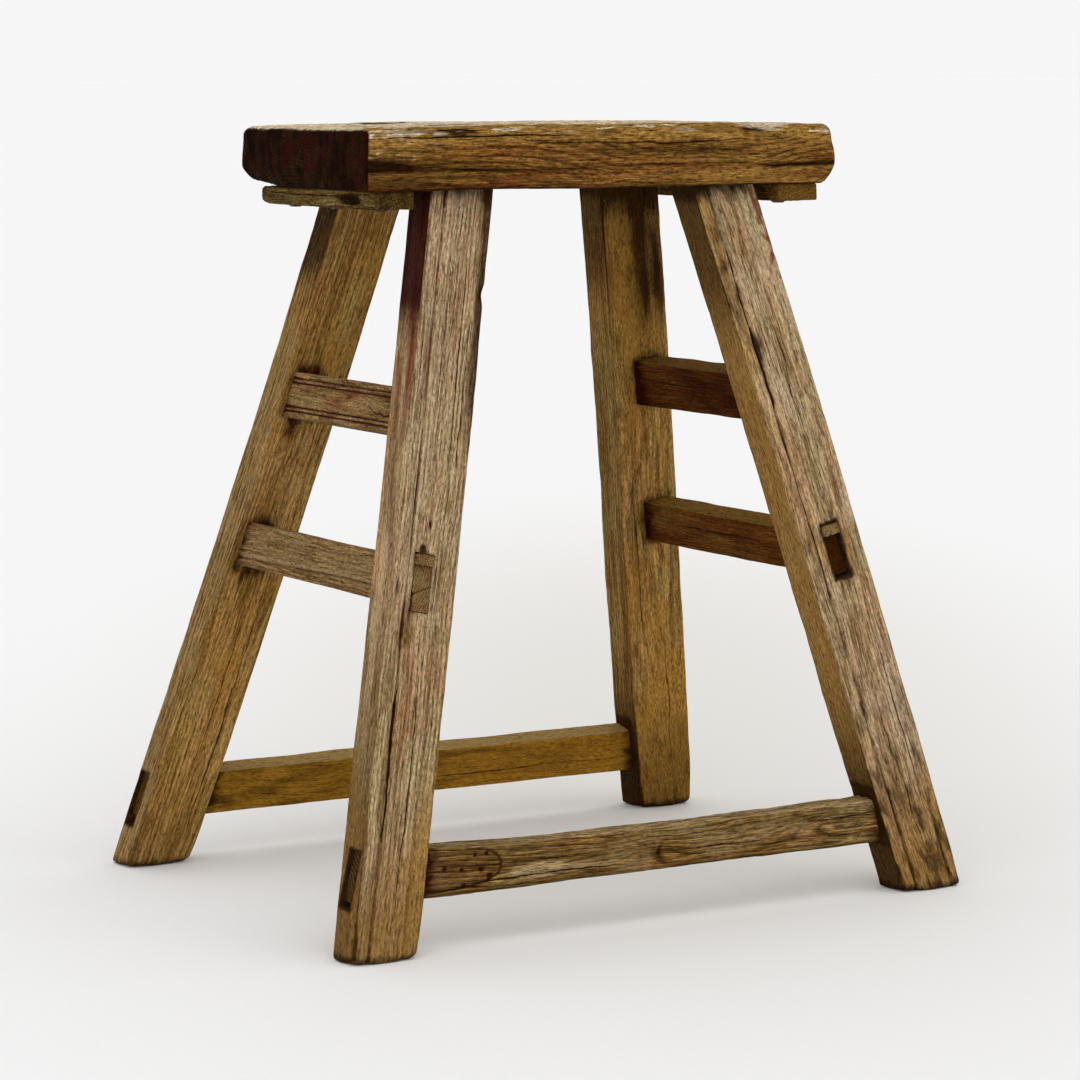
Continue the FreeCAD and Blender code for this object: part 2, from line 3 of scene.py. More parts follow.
import bpy
import mathutils
import numpy as np
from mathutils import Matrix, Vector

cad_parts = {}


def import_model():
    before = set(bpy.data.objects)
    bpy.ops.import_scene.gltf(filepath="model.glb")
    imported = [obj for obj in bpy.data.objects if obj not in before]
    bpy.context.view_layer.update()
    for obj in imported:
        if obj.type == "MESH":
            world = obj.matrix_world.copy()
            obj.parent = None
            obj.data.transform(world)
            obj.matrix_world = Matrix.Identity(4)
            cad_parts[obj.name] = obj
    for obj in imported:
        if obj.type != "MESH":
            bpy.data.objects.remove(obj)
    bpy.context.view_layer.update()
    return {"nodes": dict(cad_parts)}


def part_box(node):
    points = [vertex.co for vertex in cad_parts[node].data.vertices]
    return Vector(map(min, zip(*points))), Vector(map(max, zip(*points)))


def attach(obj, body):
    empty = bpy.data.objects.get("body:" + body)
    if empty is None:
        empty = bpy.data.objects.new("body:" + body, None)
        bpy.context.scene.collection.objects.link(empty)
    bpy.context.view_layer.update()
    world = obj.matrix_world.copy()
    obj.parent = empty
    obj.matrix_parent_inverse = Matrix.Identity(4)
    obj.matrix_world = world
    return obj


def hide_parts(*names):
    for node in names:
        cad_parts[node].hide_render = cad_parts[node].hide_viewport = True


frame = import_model()

# An old splay-legged elm work stool, built round its CAD frame. Every wooden piece is a dense box
# of surface points in the piece's own axes (u along the grain, v and w across it, in mm), which
# is rounded, worn, cracked and hollowed, then set in the frame's place. Marks left on the points
# (growth rings, cracks, dirt and painted shade, old lacquer) tell the material where each one shows.

MM = 0.001
LEFT, RIGHT, FRONT, BACK = "left", "right", "front", "back"
SIDE = {LEFT: -1, RIGHT: 1, FRONT: -1, BACK: 1}
TOUCH = 0.05  # mm: points this close to a plane lie on it
WALL = 0.06  # mm: half the thickness of a steep wall between two grid lines
MARKS = ("ring", "seam", "open", "grime", "pale", "gold", "red", "end")
NO_SEAM = 9.0  # mm: the distance marked where no crack is near
NEAR_FACE = 0.4  # mm: a tenon's points this close to a leg's face lie in its mouth


# ---- noise

dice = np.random.RandomState(11)
ORDER = np.tile(dice.permutation(256), 2)
SLOPES = dice.normal(size=(256, 3))
SLOPES /= np.linalg.norm(SLOPES, axis=1, keepdims=True)


def noise(points, cell, seed):
    """Smooth noise from about -1 to 1. cell is the size of a lump, along each axis, in mm."""
    p = points / np.asarray(cell, float) + 7.31 * seed + 0.37
    base = np.floor(p).astype(int)
    part = p - base
    ease = part ** 3 * (part * (part * 6 - 15) + 10)
    total = np.zeros(len(p))
    for corner in np.ndindex(2, 2, 2):
        i, j, k = (base + corner).T & 255
        slope = SLOPES[ORDER[ORDER[ORDER[i] + j] + k]]
        share = np.where(corner, ease, 1 - ease).prod(axis=1)
        total += share * ((part - corner) * slope).sum(axis=1)
    return total * 1.5


def rough(points, cell, seed, octaves=3):
    """Noise with finer and finer lumps added."""
    cell = np.broadcast_to(np.asarray(cell, float), 3)
    return sum(noise(points, cell / 2 ** n, seed + 5 * n) / 2 ** n for n in range(octaves))


def step(value, low, high):
    """0 below low, 1 above high and smooth between. low may be the larger."""
    t = np.clip((value - low) / (high - low), 0, 1)
    return t * t * (3 - 2 * t)


def hump(value, centre, width):
    return np.exp(-((value - centre) / width) ** 2)


# ---- blocks of surface points

def grid(low, high, spacing, cuts=()):
    """Grid lines about spacing apart, with a close pair of lines at each cut."""
    inner = sorted(c for c in cuts if low + spacing < c < high - spacing)
    starts = [low] + [c + WALL for c in inner]
    ends = [c - WALL for c in inner] + [high]
    counts = [max(1, round((b - a) / spacing)) + 1 for a, b in zip(starts, ends)]
    return np.concatenate([np.linspace(*run) for run in zip(starts, ends, counts)])


class Block:
    """A box of surface points on the grids along u, v and w, and the quads between them."""

    def __init__(self, seed, *grids):
        lines = [grid(*numbers) for numbers in grids]
        self.seed = seed
        shell = np.ones([len(line) for line in lines], bool)
        shell[1:-1, 1:-1, 1:-1] = False
        index = np.full(shell.shape, -1)
        index[shell] = np.arange(shell.sum())
        places = np.nonzero(shell)
        self.rest = np.stack([line[i] for line, i in zip(lines, places)], axis=1)
        self.low, self.high = self.rest.min(axis=0), self.rest.max(axis=0)
        self.at = self.rest.copy()
        quads = []
        for axis in range(3):
            for end in (0, -1):
                face = np.take(index, end, axis=axis)
                corners = [face[:-1, :-1], face[1:, :-1], face[1:, 1:], face[:-1, 1:]]
                if (end == 0) != (axis == 1):
                    corners.reverse()
                quads.append(np.stack(corners, axis=-1).reshape(-1, 4))
        self.quads = np.concatenate(quads)
        self.marks = {name: np.zeros(len(self.at)) for name in MARKS}
        self.marks["seam"][:] = NO_SEAM

    def noise(self, cell, seed):
        return noise(self.rest, cell, seed)

    def rough(self, cell, seed):
        return rough(self.rest, cell, seed)

    def along(self, cell, seed, octaves=1):
        """Noise that changes only along the grain."""
        return rough(self.rest * (1, 0, 0), cell, seed, octaves)

    def patches(self, low, high, cell, seed):
        """0 where the noise is below low and 1 where it is above high."""
        return step(self.noise(cell, seed), low, high)

    def worn(self, least, more, cell=(34, 26, 26), most=6.0):
        """A radius for each point: edges worn more in some places than in others."""
        return np.clip(least + more * self.rough(cell, self.seed + 9), 0.4, most)

    def round_off(self, radius):
        """Round every edge. radius is one number or one for each point."""
        radius = np.broadcast_to(radius, len(self.rest))[:, None]
        core = np.clip(self.rest, self.low + radius, self.high - radius)
        gap = self.rest - core
        self.out = gap / np.linalg.norm(gap, axis=1, keepdims=True)
        self.at = core + self.out * radius

    def facing(self, axis, side):
        """1 on the face that looks along an axis, falling to 0 round its edges."""
        return step(self.out[:, axis] * side, 0.35, 0.8)

    def sides(self):
        """1 on the long faces, 0 on the end grain."""
        return 1 - step(np.abs(self.out[:, 0]), 0.4, 0.9)

    def ends(self):
        """1 on the end grain, 0 on the long faces."""
        return step(np.abs(self.out[:, 0]), 0.5, 0.9)

    def swell(self, height):
        self.at = self.at + self.out * np.reshape(height, (-1, 1))

    def mark(self, **amounts):
        """Add to marks, which stay between 0 and 1."""
        for name, amount in amounts.items():
            self.marks[name] = np.clip(self.marks[name] + amount, 0, 1)

    def spot(self, centre, reach):
        """1 at a place in the block, fading out over reach along each axis."""
        return np.exp(-(((self.rest - centre) / reach) ** 2).sum(axis=1))

    def dent(self, centre, reach, depth, **amounts):
        """Sink a spot by depth, with marks of the given strengths on it."""
        spot = self.spot(centre, reach)
        self.swell(-depth * spot)
        self.mark(**{name: amount * spot for name, amount in amounts.items()})

    def past(self, axis, middle, half):
        """How far each point is past a rectangle's edges, along the axes other than axis."""
        return np.abs(np.delete(self.rest, axis, axis=1) - middle) - half

    def sink(self, axis, side, middle, half, depth):
        """Sink a rectangle of one face by depth. middle and half are along the other two axes."""
        level = self.high[axis] if side > 0 else self.low[axis]
        away = self.past(axis, middle, half)
        inside = (np.abs(self.rest[:, axis] - level) < TOUCH) & (away < 0).all(axis=1)
        self.at[inside, axis] = level - side * depth

    def rim(self, axis, side, middle, half, reach):
        """1 at the edge of a rectangle on one face and within it, fading out over reach."""
        away = np.maximum(self.past(axis, middle, half), 0)
        return np.exp(-(np.hypot(*away.T) / reach) ** 2) * self.facing(axis, side)

    def cracks(self, axis, side, *rows):
        """Open cracks along the grain on one face, tapering towards both ends.

        A row holds a crack's place across the face, its start and stop along the grain, half its
        width, its depth, how far it wanders, and its seed.
        """
        on_face = self.out[:, axis] * side > 0.5
        for across, start, stop, half_width, depth, wander, seed in rows:
            path = across + wander * self.along(45, 60 + seed, 4)
            part = np.clip((self.rest[:, 0] - start) / (stop - start), 0, 1)
            width = half_width * np.sin(np.pi * part) ** 0.5
            width *= np.clip(1 + 0.8 * self.along(9, 80 + seed), 0.25, 2)
            offset = self.rest[:, 3 - axis] - path
            nearer = on_face & (width > 0) & (np.abs(offset) < np.abs(self.marks["seam"]))
            self.marks["seam"] = np.where(nearer, offset, self.marks["seam"])
            self.marks["open"] = np.where(nearer, width, self.marks["open"])
            pull = hump(offset, 0, half_width + 0.5) * np.clip(width / half_width, 0, 1)
            self.swell(-depth * pull * on_face)

    def grow(self, pith, ring, warp):
        """Lay growth rings round a pith line at (v, w), each ring wide, bent by warp."""
        p, seed = self.rest, 100 + self.seed
        bend = warp * rough(p, (150, 60, 60), seed, 2)
        bend += 0.25 * warp * self.rough((40, 12, 12), seed + 3)
        self.rings = np.hypot(p[:, 1] - pith[0], p[:, 2] - pith[1]) + bend
        self.ring_width = ring

    def lift_rings(self, amount):
        """Call the rings final: stand the hard late wood proud of the early wood."""
        phase = self.rings / self.ring_width + 40
        self.marks["ring"] = phase
        self.swell(amount * np.cos(2 * np.pi * phase) * self.sides())

    def weather(self, swell, dents, rings, fibres=0.08):
        """The unevenness that every old piece has: broad swells, dents, raised rings and fibres."""
        seed, sides = self.seed, self.sides()
        height = swell * rough(self.rest, (110, 34, 34), seed + 1, 2)
        height -= dents * self.patches(0.42, 0.85, (13, 8, 8), seed + 2)
        height -= 1.6 * dents * self.patches(0.62, 0.95, (30, 9, 9), seed + 3)
        height += fibres * self.noise((14, 1.9, 1.9), seed + 4) * sides
        height += 0.12 * self.noise(2.6, seed + 6) * (1 - sides)
        self.swell(height)
        self.lift_rings(rings)

    def grain(self):
        """Where each point lies in the wood: the grain runs along x, and wanders a little."""
        drift = self.seed * np.array([371.0, 113.0, 59.0])
        sway = [2.4 * rough(self.rest, (75, 30, 30), self.seed + n, 2) for n in (51, 57)]
        return self.rest + drift + np.stack([np.zeros(len(self.rest)), *sway], axis=1)


# ---- places taken from the frame

def cad_points(node):
    mesh = frame["nodes"][node].data
    flat = np.empty(len(mesh.vertices) * 3)
    mesh.vertices.foreach_get("co", flat)
    return flat.reshape(-1, 3) / MM


def middle_of(points):
    return (points.min(axis=0) + points.max(axis=0)) / 2


def half_of(points):
    return (points.max(axis=0) - points.min(axis=0)) / 2


def edges(rectangle, i):
    """Where a rectangle, a middle and its half sizes, starts and stops along its axis i."""
    middle, half = rectangle
    return [middle[i] - half[i], middle[i] + half[i]]


class Axes:
    """A piece's own axes: an origin and the directions of u, v and w in the stool, in mm."""

    def __init__(self, origin, u, v, w):
        self.origin = np.asarray(origin, float)
        self.turn = np.array([u, v, w], float)

    def own(self, points):
        return (points - self.origin) @ np.linalg.inv(self.turn)

    def stool(self, points):
        return self.origin + points @ self.turn


class LegAxes(Axes):
    """u runs up the leg's axis from the floor, v across its wide faces and w along Y."""

    def __init__(self, name):
        points = cad_points(name)
        top = points[:, 2].max()
        foot = points[points[:, 2] < TOUCH]
        head = points[points[:, 2] > top - TOUCH]
        run = (middle_of(head) - middle_of(foot)) / top
        length = np.linalg.norm(run)
        lean = math.atan(run[0])
        across = np.array([math.cos(lean), -run[1] * math.sin(lean), -math.sin(lean)])
        super().__init__(middle_of(foot), run / length, across, (0, 1, 0))
        self.lean, self.run = lean, run
        half = half_of(foot)
        self.half = np.array([half[0] * math.cos(lean), half[1]])
        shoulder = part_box("seat_plank")[0].z / MM
        self.shoulder, self.top = shoulder * length, top * length
        self.tenon = half_of(head)[:2] / half[:2]
        self.level_slope = -across[2] / self.turn[0][2]

    def middle_at(self, height):
        return self.origin + self.run * height


LEGS = {(end, side): LegAxes(f"leg_{end}_{side}") for end in (FRONT, BACK) for side in (LEFT, RIGHT)}


def mouth(leg, node, axis, side):
    """Where a through tenon meets a face of a leg: middle, half sizes and lean, in (u, other)."""
    own = leg.own(cad_points(node))
    level = side * leg.half[axis - 1]
    cap = own[np.abs(own[:, axis] - level) < NEAR_FACE][:, [0, 3 - axis]]
    middle = middle_of(cap)
    lower, upper = cap[cap[:, 0] < middle[0]], cap[cap[:, 0] > middle[0]]
    rise = upper[:, 0].mean() - lower[:, 0].mean()
    lean = (middle_of(upper)[1] - middle_of(lower)[1]) / rise
    half = np.array([half_of(cap)[0], half_of(lower)[1]])
    return middle, half, lean


# ---- materials

def colour(red, green, blue):
    """A screen colour, 0 to 255, as the light it stands for."""
    def light(c):
        c /= 255
        return c / 12.92 if c <= 0.04045 else ((c + 0.055) / 1.055) ** 2.4
    return light(red), light(green), light(blue), 1.0


class Nodes:
    """Short names for the nodes of a material or the world."""

    def __init__(self, owner):
        self.owner = owner
        owner.use_nodes = True
        self.tree = owner.node_tree

    def put(self, socket, value):
        if isinstance(value, bpy.types.NodeSocket):
            self.tree.links.new(value, socket)
        else:
            socket.default_value = value

    def new(self, kind, inputs=(), output=0, **settings):
        """A new node's output. inputs pairs the names or numbers of its inputs with values."""
        node = self.tree.nodes.new("ShaderNode" + kind)
        for name, value in settings.items():
            setattr(node, name, value)
        for name, value in inputs:
            self.put(node.inputs[name], value)
        return node.outputs[output]

    def mark(self, name, output="Fac"):
        return self.new("Attribute", output=output, attribute_name=name)

    def place(self):
        return self.new("TexCoord", output="Object")

    def math(self, operation, *values):
        return self.new("Math", enumerate(values), operation=operation)

    def times(self, first, second):
        return self.math("MULTIPLY", first, second)

    def fit(self, value, factor, offset):
        """value * factor + offset."""
        return self.math("MULTIPLY_ADD", value, factor, offset)

    def stretch(self, vector, scale):
        return self.new("VectorMath", enumerate((vector, scale)), operation="MULTIPLY")

    def noise(self, vector, scale, detail=3.0, roughness=0.55, distortion=0.0):
        inputs = {"Vector": self.stretch(vector, scale), "Scale": 1.0, "Detail": detail,
                  "Roughness": roughness, "Distortion": distortion}
        return self.new("TexNoise", inputs.items(), "Fac")

    def ramp(self, value, low, high, start=0.0, end=1.0):
        inputs = enumerate((value, low, high, start, end))
        return self.new("MapRange", inputs, interpolation_type="SMOOTHSTEP")

    def mix(self, amount, first, second, blend="MIX"):
        """Mix two colours: the node's inputs 0, 6 and 7 and its output 2 are those for colours."""
        inputs = zip((0, 6, 7), (amount, first, second))
        return self.new("Mix", inputs, 2, data_type="RGBA", blend_type=blend)

    def bump(self, height, depth):
        inputs = {"Strength": 1.0, "Distance": depth, "Height": height}
        return self.new("Bump", inputs.items())

    def shade(self, shader="Principled BSDF", **inputs):
        """Set or link a shader's inputs, each named with _ for a space."""
        for name, value in inputs.items():
            self.put(self.tree.nodes[shader].inputs[name.replace("_", " ")], value)


PORE = colour(64, 38, 16)
CRACK = colour(40, 19, 7)
LACQUER = colour(104, 34, 22)
MAROON = colour(48, 10, 5)
REDDISH = (1.06, 0.95, 0.86, 1.0)
OLIVE = (0.96, 1.03, 0.94, 1.0)
SHADE = (0.34, 0.26, 0.18, 1.0)
GLINT = (1.9, 1.85, 1.8, 1.0)
WOODS = {}  # each slot's material


def wood(name, light, dark, grey, gold, dirt=(38, 19, 6), line=(78, 46, 20), lines=0.6, pores=0.7,
         weathered=0.45, grit=1.0, dash=0.26, lacquer=0.7):
    """Weathered elm: streaks and pores along the grain, ring lines, stains, lacquer, cracks, and dirt
    that also lays painted shade.
    """
    n = Nodes(bpy.data.materials.new(name))
    light, dark, grey, gold, dirt, line = (colour(*c) for c in (light, dark, grey, gold, dirt, line))
    grain = n.mark("grain", "Vector")
    fibre = n.noise(grain, (0.03, 0.95, 0.95), detail=5, roughness=0.6)
    streak = n.noise(grain, (0.007, 0.14, 0.14), detail=4)
    blotch = n.noise(grain, (0.012, 0.035, 0.035), detail=4, distortion=0.6)
    speck = n.noise(grain, (0.3, 0.75, 0.75), detail=4, roughness=0.75)
    pore = n.noise(grain, (0.11, 1.5, 1.5), detail=2, roughness=0.5)
    fleck = n.noise(grain, (dash, 0.95, 0.95), detail=3, roughness=0.7)
    hue = n.noise(grain, (0.014, 0.06, 0.06), detail=3)
    phase = n.math("FRACT", n.mark("ring"))
    early = n.times(n.ramp(phase, 0.0, 0.1), n.ramp(phase, 0.55, 0.12))
    early = n.times(early, n.ramp(blotch, 0.3, 0.62, 0.35, 1.0))

    tone = n.math("ADD", n.times(fibre, 0.55), n.times(streak, 0.45))
    base = n.mix(n.ramp(tone, 0.4, 0.6), dark, light)
    base = n.mix(n.times(early, lines), base, line)
    base = n.mix(n.ramp(blotch, 0.46, 0.72, 0.0, weathered), base, grey)

    def patch(surface, mark, shade, breakup, low, high, most):
        """Lay a shade where a mark is strong, its border broken up by a noise."""
        level = n.math("ADD", n.mark(mark), n.fit(breakup, 0.9, -0.45))
        amount = n.times(n.ramp(level, low, high), most)
        return n.mix(n.times(amount, n.ramp(n.mark(mark), 0.02, 0.15)), surface, shade)

    base = n.mix(1.0, base, n.mix(n.ramp(hue, 0.36, 0.64), REDDISH, OLIVE), "MULTIPLY")
    base = patch(base, "gold", gold, blotch, 0.3, 0.8, 0.85)
    base = patch(base, "pale", grey, fibre, 0.35, 0.75, 0.9)
    pits = n.times(n.ramp(pore, 0.56, 0.68), n.ramp(early, 0.0, 0.6, 0.45, 1.0))
    base = n.mix(n.times(pits, pores), base, PORE)
    base = patch(base, "red", LACQUER, speck, 0.4, 0.8, lacquer)
    base = patch(base, "end", dirt, speck, 0.2, 1.1, 0.9)
    # The dark colour laid where dirt is marked, dark maroon over lacquer; it also lays painted shade
    # under the seat and inside the stool.
    grime_and_shade_colour = n.mix(n.ramp(n.mark("red"), 0.1, 0.5), dirt, MAROON)
    smear = n.math("ADD", n.times(streak, 0.35), n.fit(speck, 0.9, -0.125))
    base = patch(base, "grime", grime_and_shade_colour, smear, 0.2, 0.95, 0.94)
    base = n.mix(n.ramp(speck, 0.32, 0.52, 0.55 * grit, 0.0), base, dirt)
    base = n.mix(n.ramp(fleck, 0.36, 0.5, 0.7 * grit, 0.0), base, SHADE, "MULTIPLY")
    base = n.mix(n.ramp(fleck, 0.5, 0.66, 0.0, 0.55 * grit), base, GLINT, "MULTIPLY")

    far = n.math("ADD", n.math("ABSOLUTE", n.mark("seam")), n.fit(speck, 0.5, -0.25))
    gape = n.math("MAXIMUM", n.mark("open"), 0.001)
    reach = n.math("DIVIDE", far, gape)
    split = n.times(n.ramp(reach, 1.25, 0.6), n.ramp(gape, 0.05, 0.2))
    halo = n.times(n.ramp(reach, 4.5, 0.8), n.ramp(gape, 0.05, 0.3, 0.0, 0.3))
    base = n.mix(split, n.mix(halo, base, line), CRACK)

    dull = n.fit(n.mark("red"), -0.18, n.fit(speck, 0.25, 0.58))
    ridges = n.fit(pits, -0.7, n.fit(early, -0.9, fibre))
    ridges = n.fit(split, -2.0, n.fit(speck, 0.45, ridges))
    n.shade(Base_Color=base, Roughness=dull, Specular_IOR_Level=0.008,
            Normal=n.bump(ridges, 0.0006))
    WOODS[name] = n.owner


def iron():
    """Hand-forged iron, dark, with rust in patches."""
    n = Nodes(bpy.data.materials.new("forged_iron"))
    pit = n.noise(n.place(), (1400, 1400, 1400), detail=3)
    rust = n.ramp(n.noise(n.place(), (210, 210, 210), detail=5, roughness=0.65), 0.4, 0.6)
    metal = n.mix(rust, colour(52, 48, 46), colour(98, 56, 32))
    metal = n.mix(n.ramp(pit, 0.35, 0.6, 0.6, 0.0), metal, colour(24, 18, 15))
    n.shade(Base_Color=metal, Metallic=n.ramp(rust, 0.2, 0.8, 0.8, 0.0),
            Roughness=n.ramp(rust, 0.0, 1.0, 0.45, 0.85), Normal=n.bump(pit, 0.0005))
    return n.owner


# ---- making a piece

def add(name, data):
    """A new object in the scene."""
    piece = bpy.data.objects.new(name, data)
    bpy.context.scene.collection.objects.link(piece)
    return piece


def finish(name, block, axes, slot):
    """Turn a block into a mesh in the stool that stands for the CAD node of the same name."""
    points = axes.stool(block.at)
    points[:, 2] = np.maximum(points[:, 2], 0)
    quads = block.quads
    if np.linalg.det(axes.turn) < 0:
        quads = quads[:, ::-1]
    mesh = bpy.data.meshes.new(name)
    mesh.from_pydata(points * MM, [], quads)
    for mark, values in block.marks.items():
        layer = mesh.attributes.new(mark, "FLOAT", "POINT")
        layer.data.foreach_set("value", values.astype(np.float32))
    layer = mesh.attributes.new("grain", "FLOAT_VECTOR", "POINT")
    layer.data.foreach_set("vector", block.grain().astype(np.float32).ravel())
    mesh.shade_smooth()
    mesh.set_sharp_from_angle(angle=math.radians(55))
    mesh.materials.append(WOODS[slot])
    piece = add(name, mesh)
    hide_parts(name)
    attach(piece, "root")


# ---- legs

LEG_CELL = 1.08  # mm between grid lines
BEAD, GROOVE = 11.0, 1.9  # mm: a front leg's edge bead and half the groove beside it
MOUTH_GAP = 0.4  # mm of daylight round a tenon end
POCKET_DEPTH, BAR_MOUTH_DEPTH = 9.0, 7.0  # mm sunk at a rung's and a stretcher's tenon end
KERF, KERF_DEPTH = 2.0, 6.0  # mm: half the width and the depth of a leg tenon's kerf
FOOT_ARRIS = 5.0  # mm more radius on a foot's front arrises
TRIM_BLEND = 60.0  # mm over which a leg's square section turns to its level cut
TENON_ARRIS = 0.8  # mm: the radius of a leg tenon's edges
FACE_REACH = 6.0  # mm that a dent's marks reach in from the outer face
UNDER_SEAT = 16.0  # mm over which a leg is darkened below the seat: painted shade under the seat


class Leg:
    """A leg's block, with the places on it that its own painter needs."""

    def __init__(self, end, side, seed, girth, bow, head_shift, foot_shift, foot_wear, taper=0.0):
        self.axes = axes = LEGS[end, side]
        self.end, self.side = end, side
        self.face, self.flank = SIDE[end], SIDE[side]
        self.bow, self.taper = bow, taper
        self.head_shift, self.foot_shift = head_shift, foot_shift
        self.rung, rung_half, _ = mouth(axes, f"rung_lower_{side}", 2, self.face)
        bar, bar_half, self.bar_lean = mouth(axes, f"stretcher_{end}", 1, self.flank)
        self.bar = bar, bar_half + MOUTH_GAP
        wedge = axes.own(cad_points(f"wedge_rung_{end}_{side}"))
        self.wedge_top = wedge[:, 0].max() + MOUTH_GAP
        base = self.rung[0] - rung_half[0] - MOUTH_GAP
        self.pocket = (np.array([(self.wedge_top + base) / 2, self.rung[1]]),
                       np.array([(self.wedge_top - base) / 2, rung_half[1] + MOUTH_GAP]))
        self.hv, self.hw = hv, hw = axes.half + np.array(girth) / 2
        self.kerf = kerf = KERF / axes.tenon[0]
        u_cuts = [*edges(self.pocket, 0), *edges(self.bar, 0), axes.shoulder]
        v_cuts = [*edges(self.pocket, 1), -kerf, kerf]
        self.block = b = Block(seed, (0, axes.top, LEG_CELL, u_cuts), (-hv, hv, LEG_CELL, v_cuts),
                               (-hw, hw, LEG_CELL, edges(self.bar, 1)))
        u, v, w = b.rest.T
        radius = b.worn(1.7, 1.2, cell=(40, 26, 26)) + foot_wear * step(u, 16, 0)
        arris = step(np.abs(v), 4, 16) * step(w, 4, -6) * (1 - 0.4 * (v > 0))
        radius += FOOT_ARRIS * step(u, 34, 0) * arris
        b.round_off(np.where(u > axes.shoulder, TENON_ARRIS, radius))

    def groove(self, v, depth):
        """A scratched groove along the outer face, at v."""
        b = self.block
        path = v + 0.5 * b.along(60, b.seed + 21)
        near = np.clip(1 - np.abs(b.rest[:, 1] - path) / GROOVE, 0, 1)
        wear = np.clip(0.75 + 0.6 * b.noise((50, 20, 20), b.seed + 22), 0.25, 1)
        amount = near * wear * b.facing(2, self.face)
        b.swell(-depth * amount)
        return amount

    def dent(self, u, v, reach, depth, **amounts):
        """Dent the outer face at (u, v), with marks of the given strengths."""
        self.block.dent((u, v, self.face * self.hw), (*reach, FACE_REACH), depth, **amounts)

    def dirty_joints_and_shade_under_seat(self):
        """Dirt where bars meet the leg, round the tenon ends and on the foot, and painted shade under
        the seat.
        """
        b, axes = self.block, self.axes
        for position in ("upper", "lower"):
            own = axes.own(cad_points(f"rung_{position}_{self.side}"))[:, :2]
            collar = b.rim(2, -self.face, middle_of(own), half_of(own), 4.5)
            b.mark(grime=0.75 * collar * (0.75 + 0.5 * b.noise((9, 6, 6), b.seed + 31)))
        own = axes.own(cad_points(f"stretcher_{self.end}"))
        near = own[np.abs(own[:, 1] + self.flank * axes.half[0]) < 2][:, [0, 2]]
        b.mark(grime=0.7 * b.rim(1, -self.flank, middle_of(near), half_of(near), 3.5))
        b.mark(grime=0.4 * b.rim(2, self.face, *self.pocket, 2.2))
        b.mark(grime=0.5 * b.rim(1, self.flank, *self.bar, 1.4))
        u = b.rest[:, 0]
        # Darker just below the seat: painted shade under the seat.
        under_seat = step(u, axes.shoulder - UNDER_SEAT, axes.shoulder + 3)
        under_seat *= np.clip(0.75 + 0.5 * b.noise((16, 9, 9), b.seed + 33), 0, 1)
        b.mark(grime=under_seat + 0.35 * step(u, 7, 0), end=0.8 * b.ends())

    def shape_up(self):
        """Cut the mouths, turn the ends to their level cuts and step in to the tenon."""
        b, axes = self.block, self.axes
        u, v, w = b.rest.T
        b.sink(2, self.face, *self.pocket, POCKET_DEPTH)
        bar, bar_half = self.bar
        slide = self.bar_lean * (u - bar[0]) * step(np.abs(u - bar[0]), 45, 18)
        slide *= step(np.abs(w), self.hw - 1, bar_half[1] + 0.5)
        b.sink(1, self.flank, *self.bar, BAR_MOUTH_DEPTH)
        b.at[:, 2] += slide * (np.abs(b.out[:, 1]) > 0.9)
        b.at[(np.abs(v) < self.kerf) & (u > axes.top - TOUCH), 0] -= KERF_DEPTH
        b.at[:, 1:] += np.outer(np.sin(np.pi * np.clip(u / axes.shoulder, 0, 1)), self.bow)
        b.at[:, 1] *= 1 - self.taper * step(u, 140, 0)
        b.at[:, 1] += self.foot_shift * step(u, 330, 0)
        b.at[:, 1] += self.head_shift * step(u, 180, 400) * (u < axes.shoulder)
        b.at[u > axes.shoulder, 1:] *= axes.tenon
        level = np.clip(1 - u / TRIM_BLEND, 0, 1) + step(u, axes.shoulder - TRIM_BLEND, axes.shoulder)
        b.at[:, 0] += axes.level_slope * b.at[:, 1] * level

    def finish(self):
        self.dirty_joints_and_shade_under_seat()
        self.shape_up()
        finish(f"leg_{self.end}_{self.side}", self.block, self.axes, f"leg_{self.end}_wood")


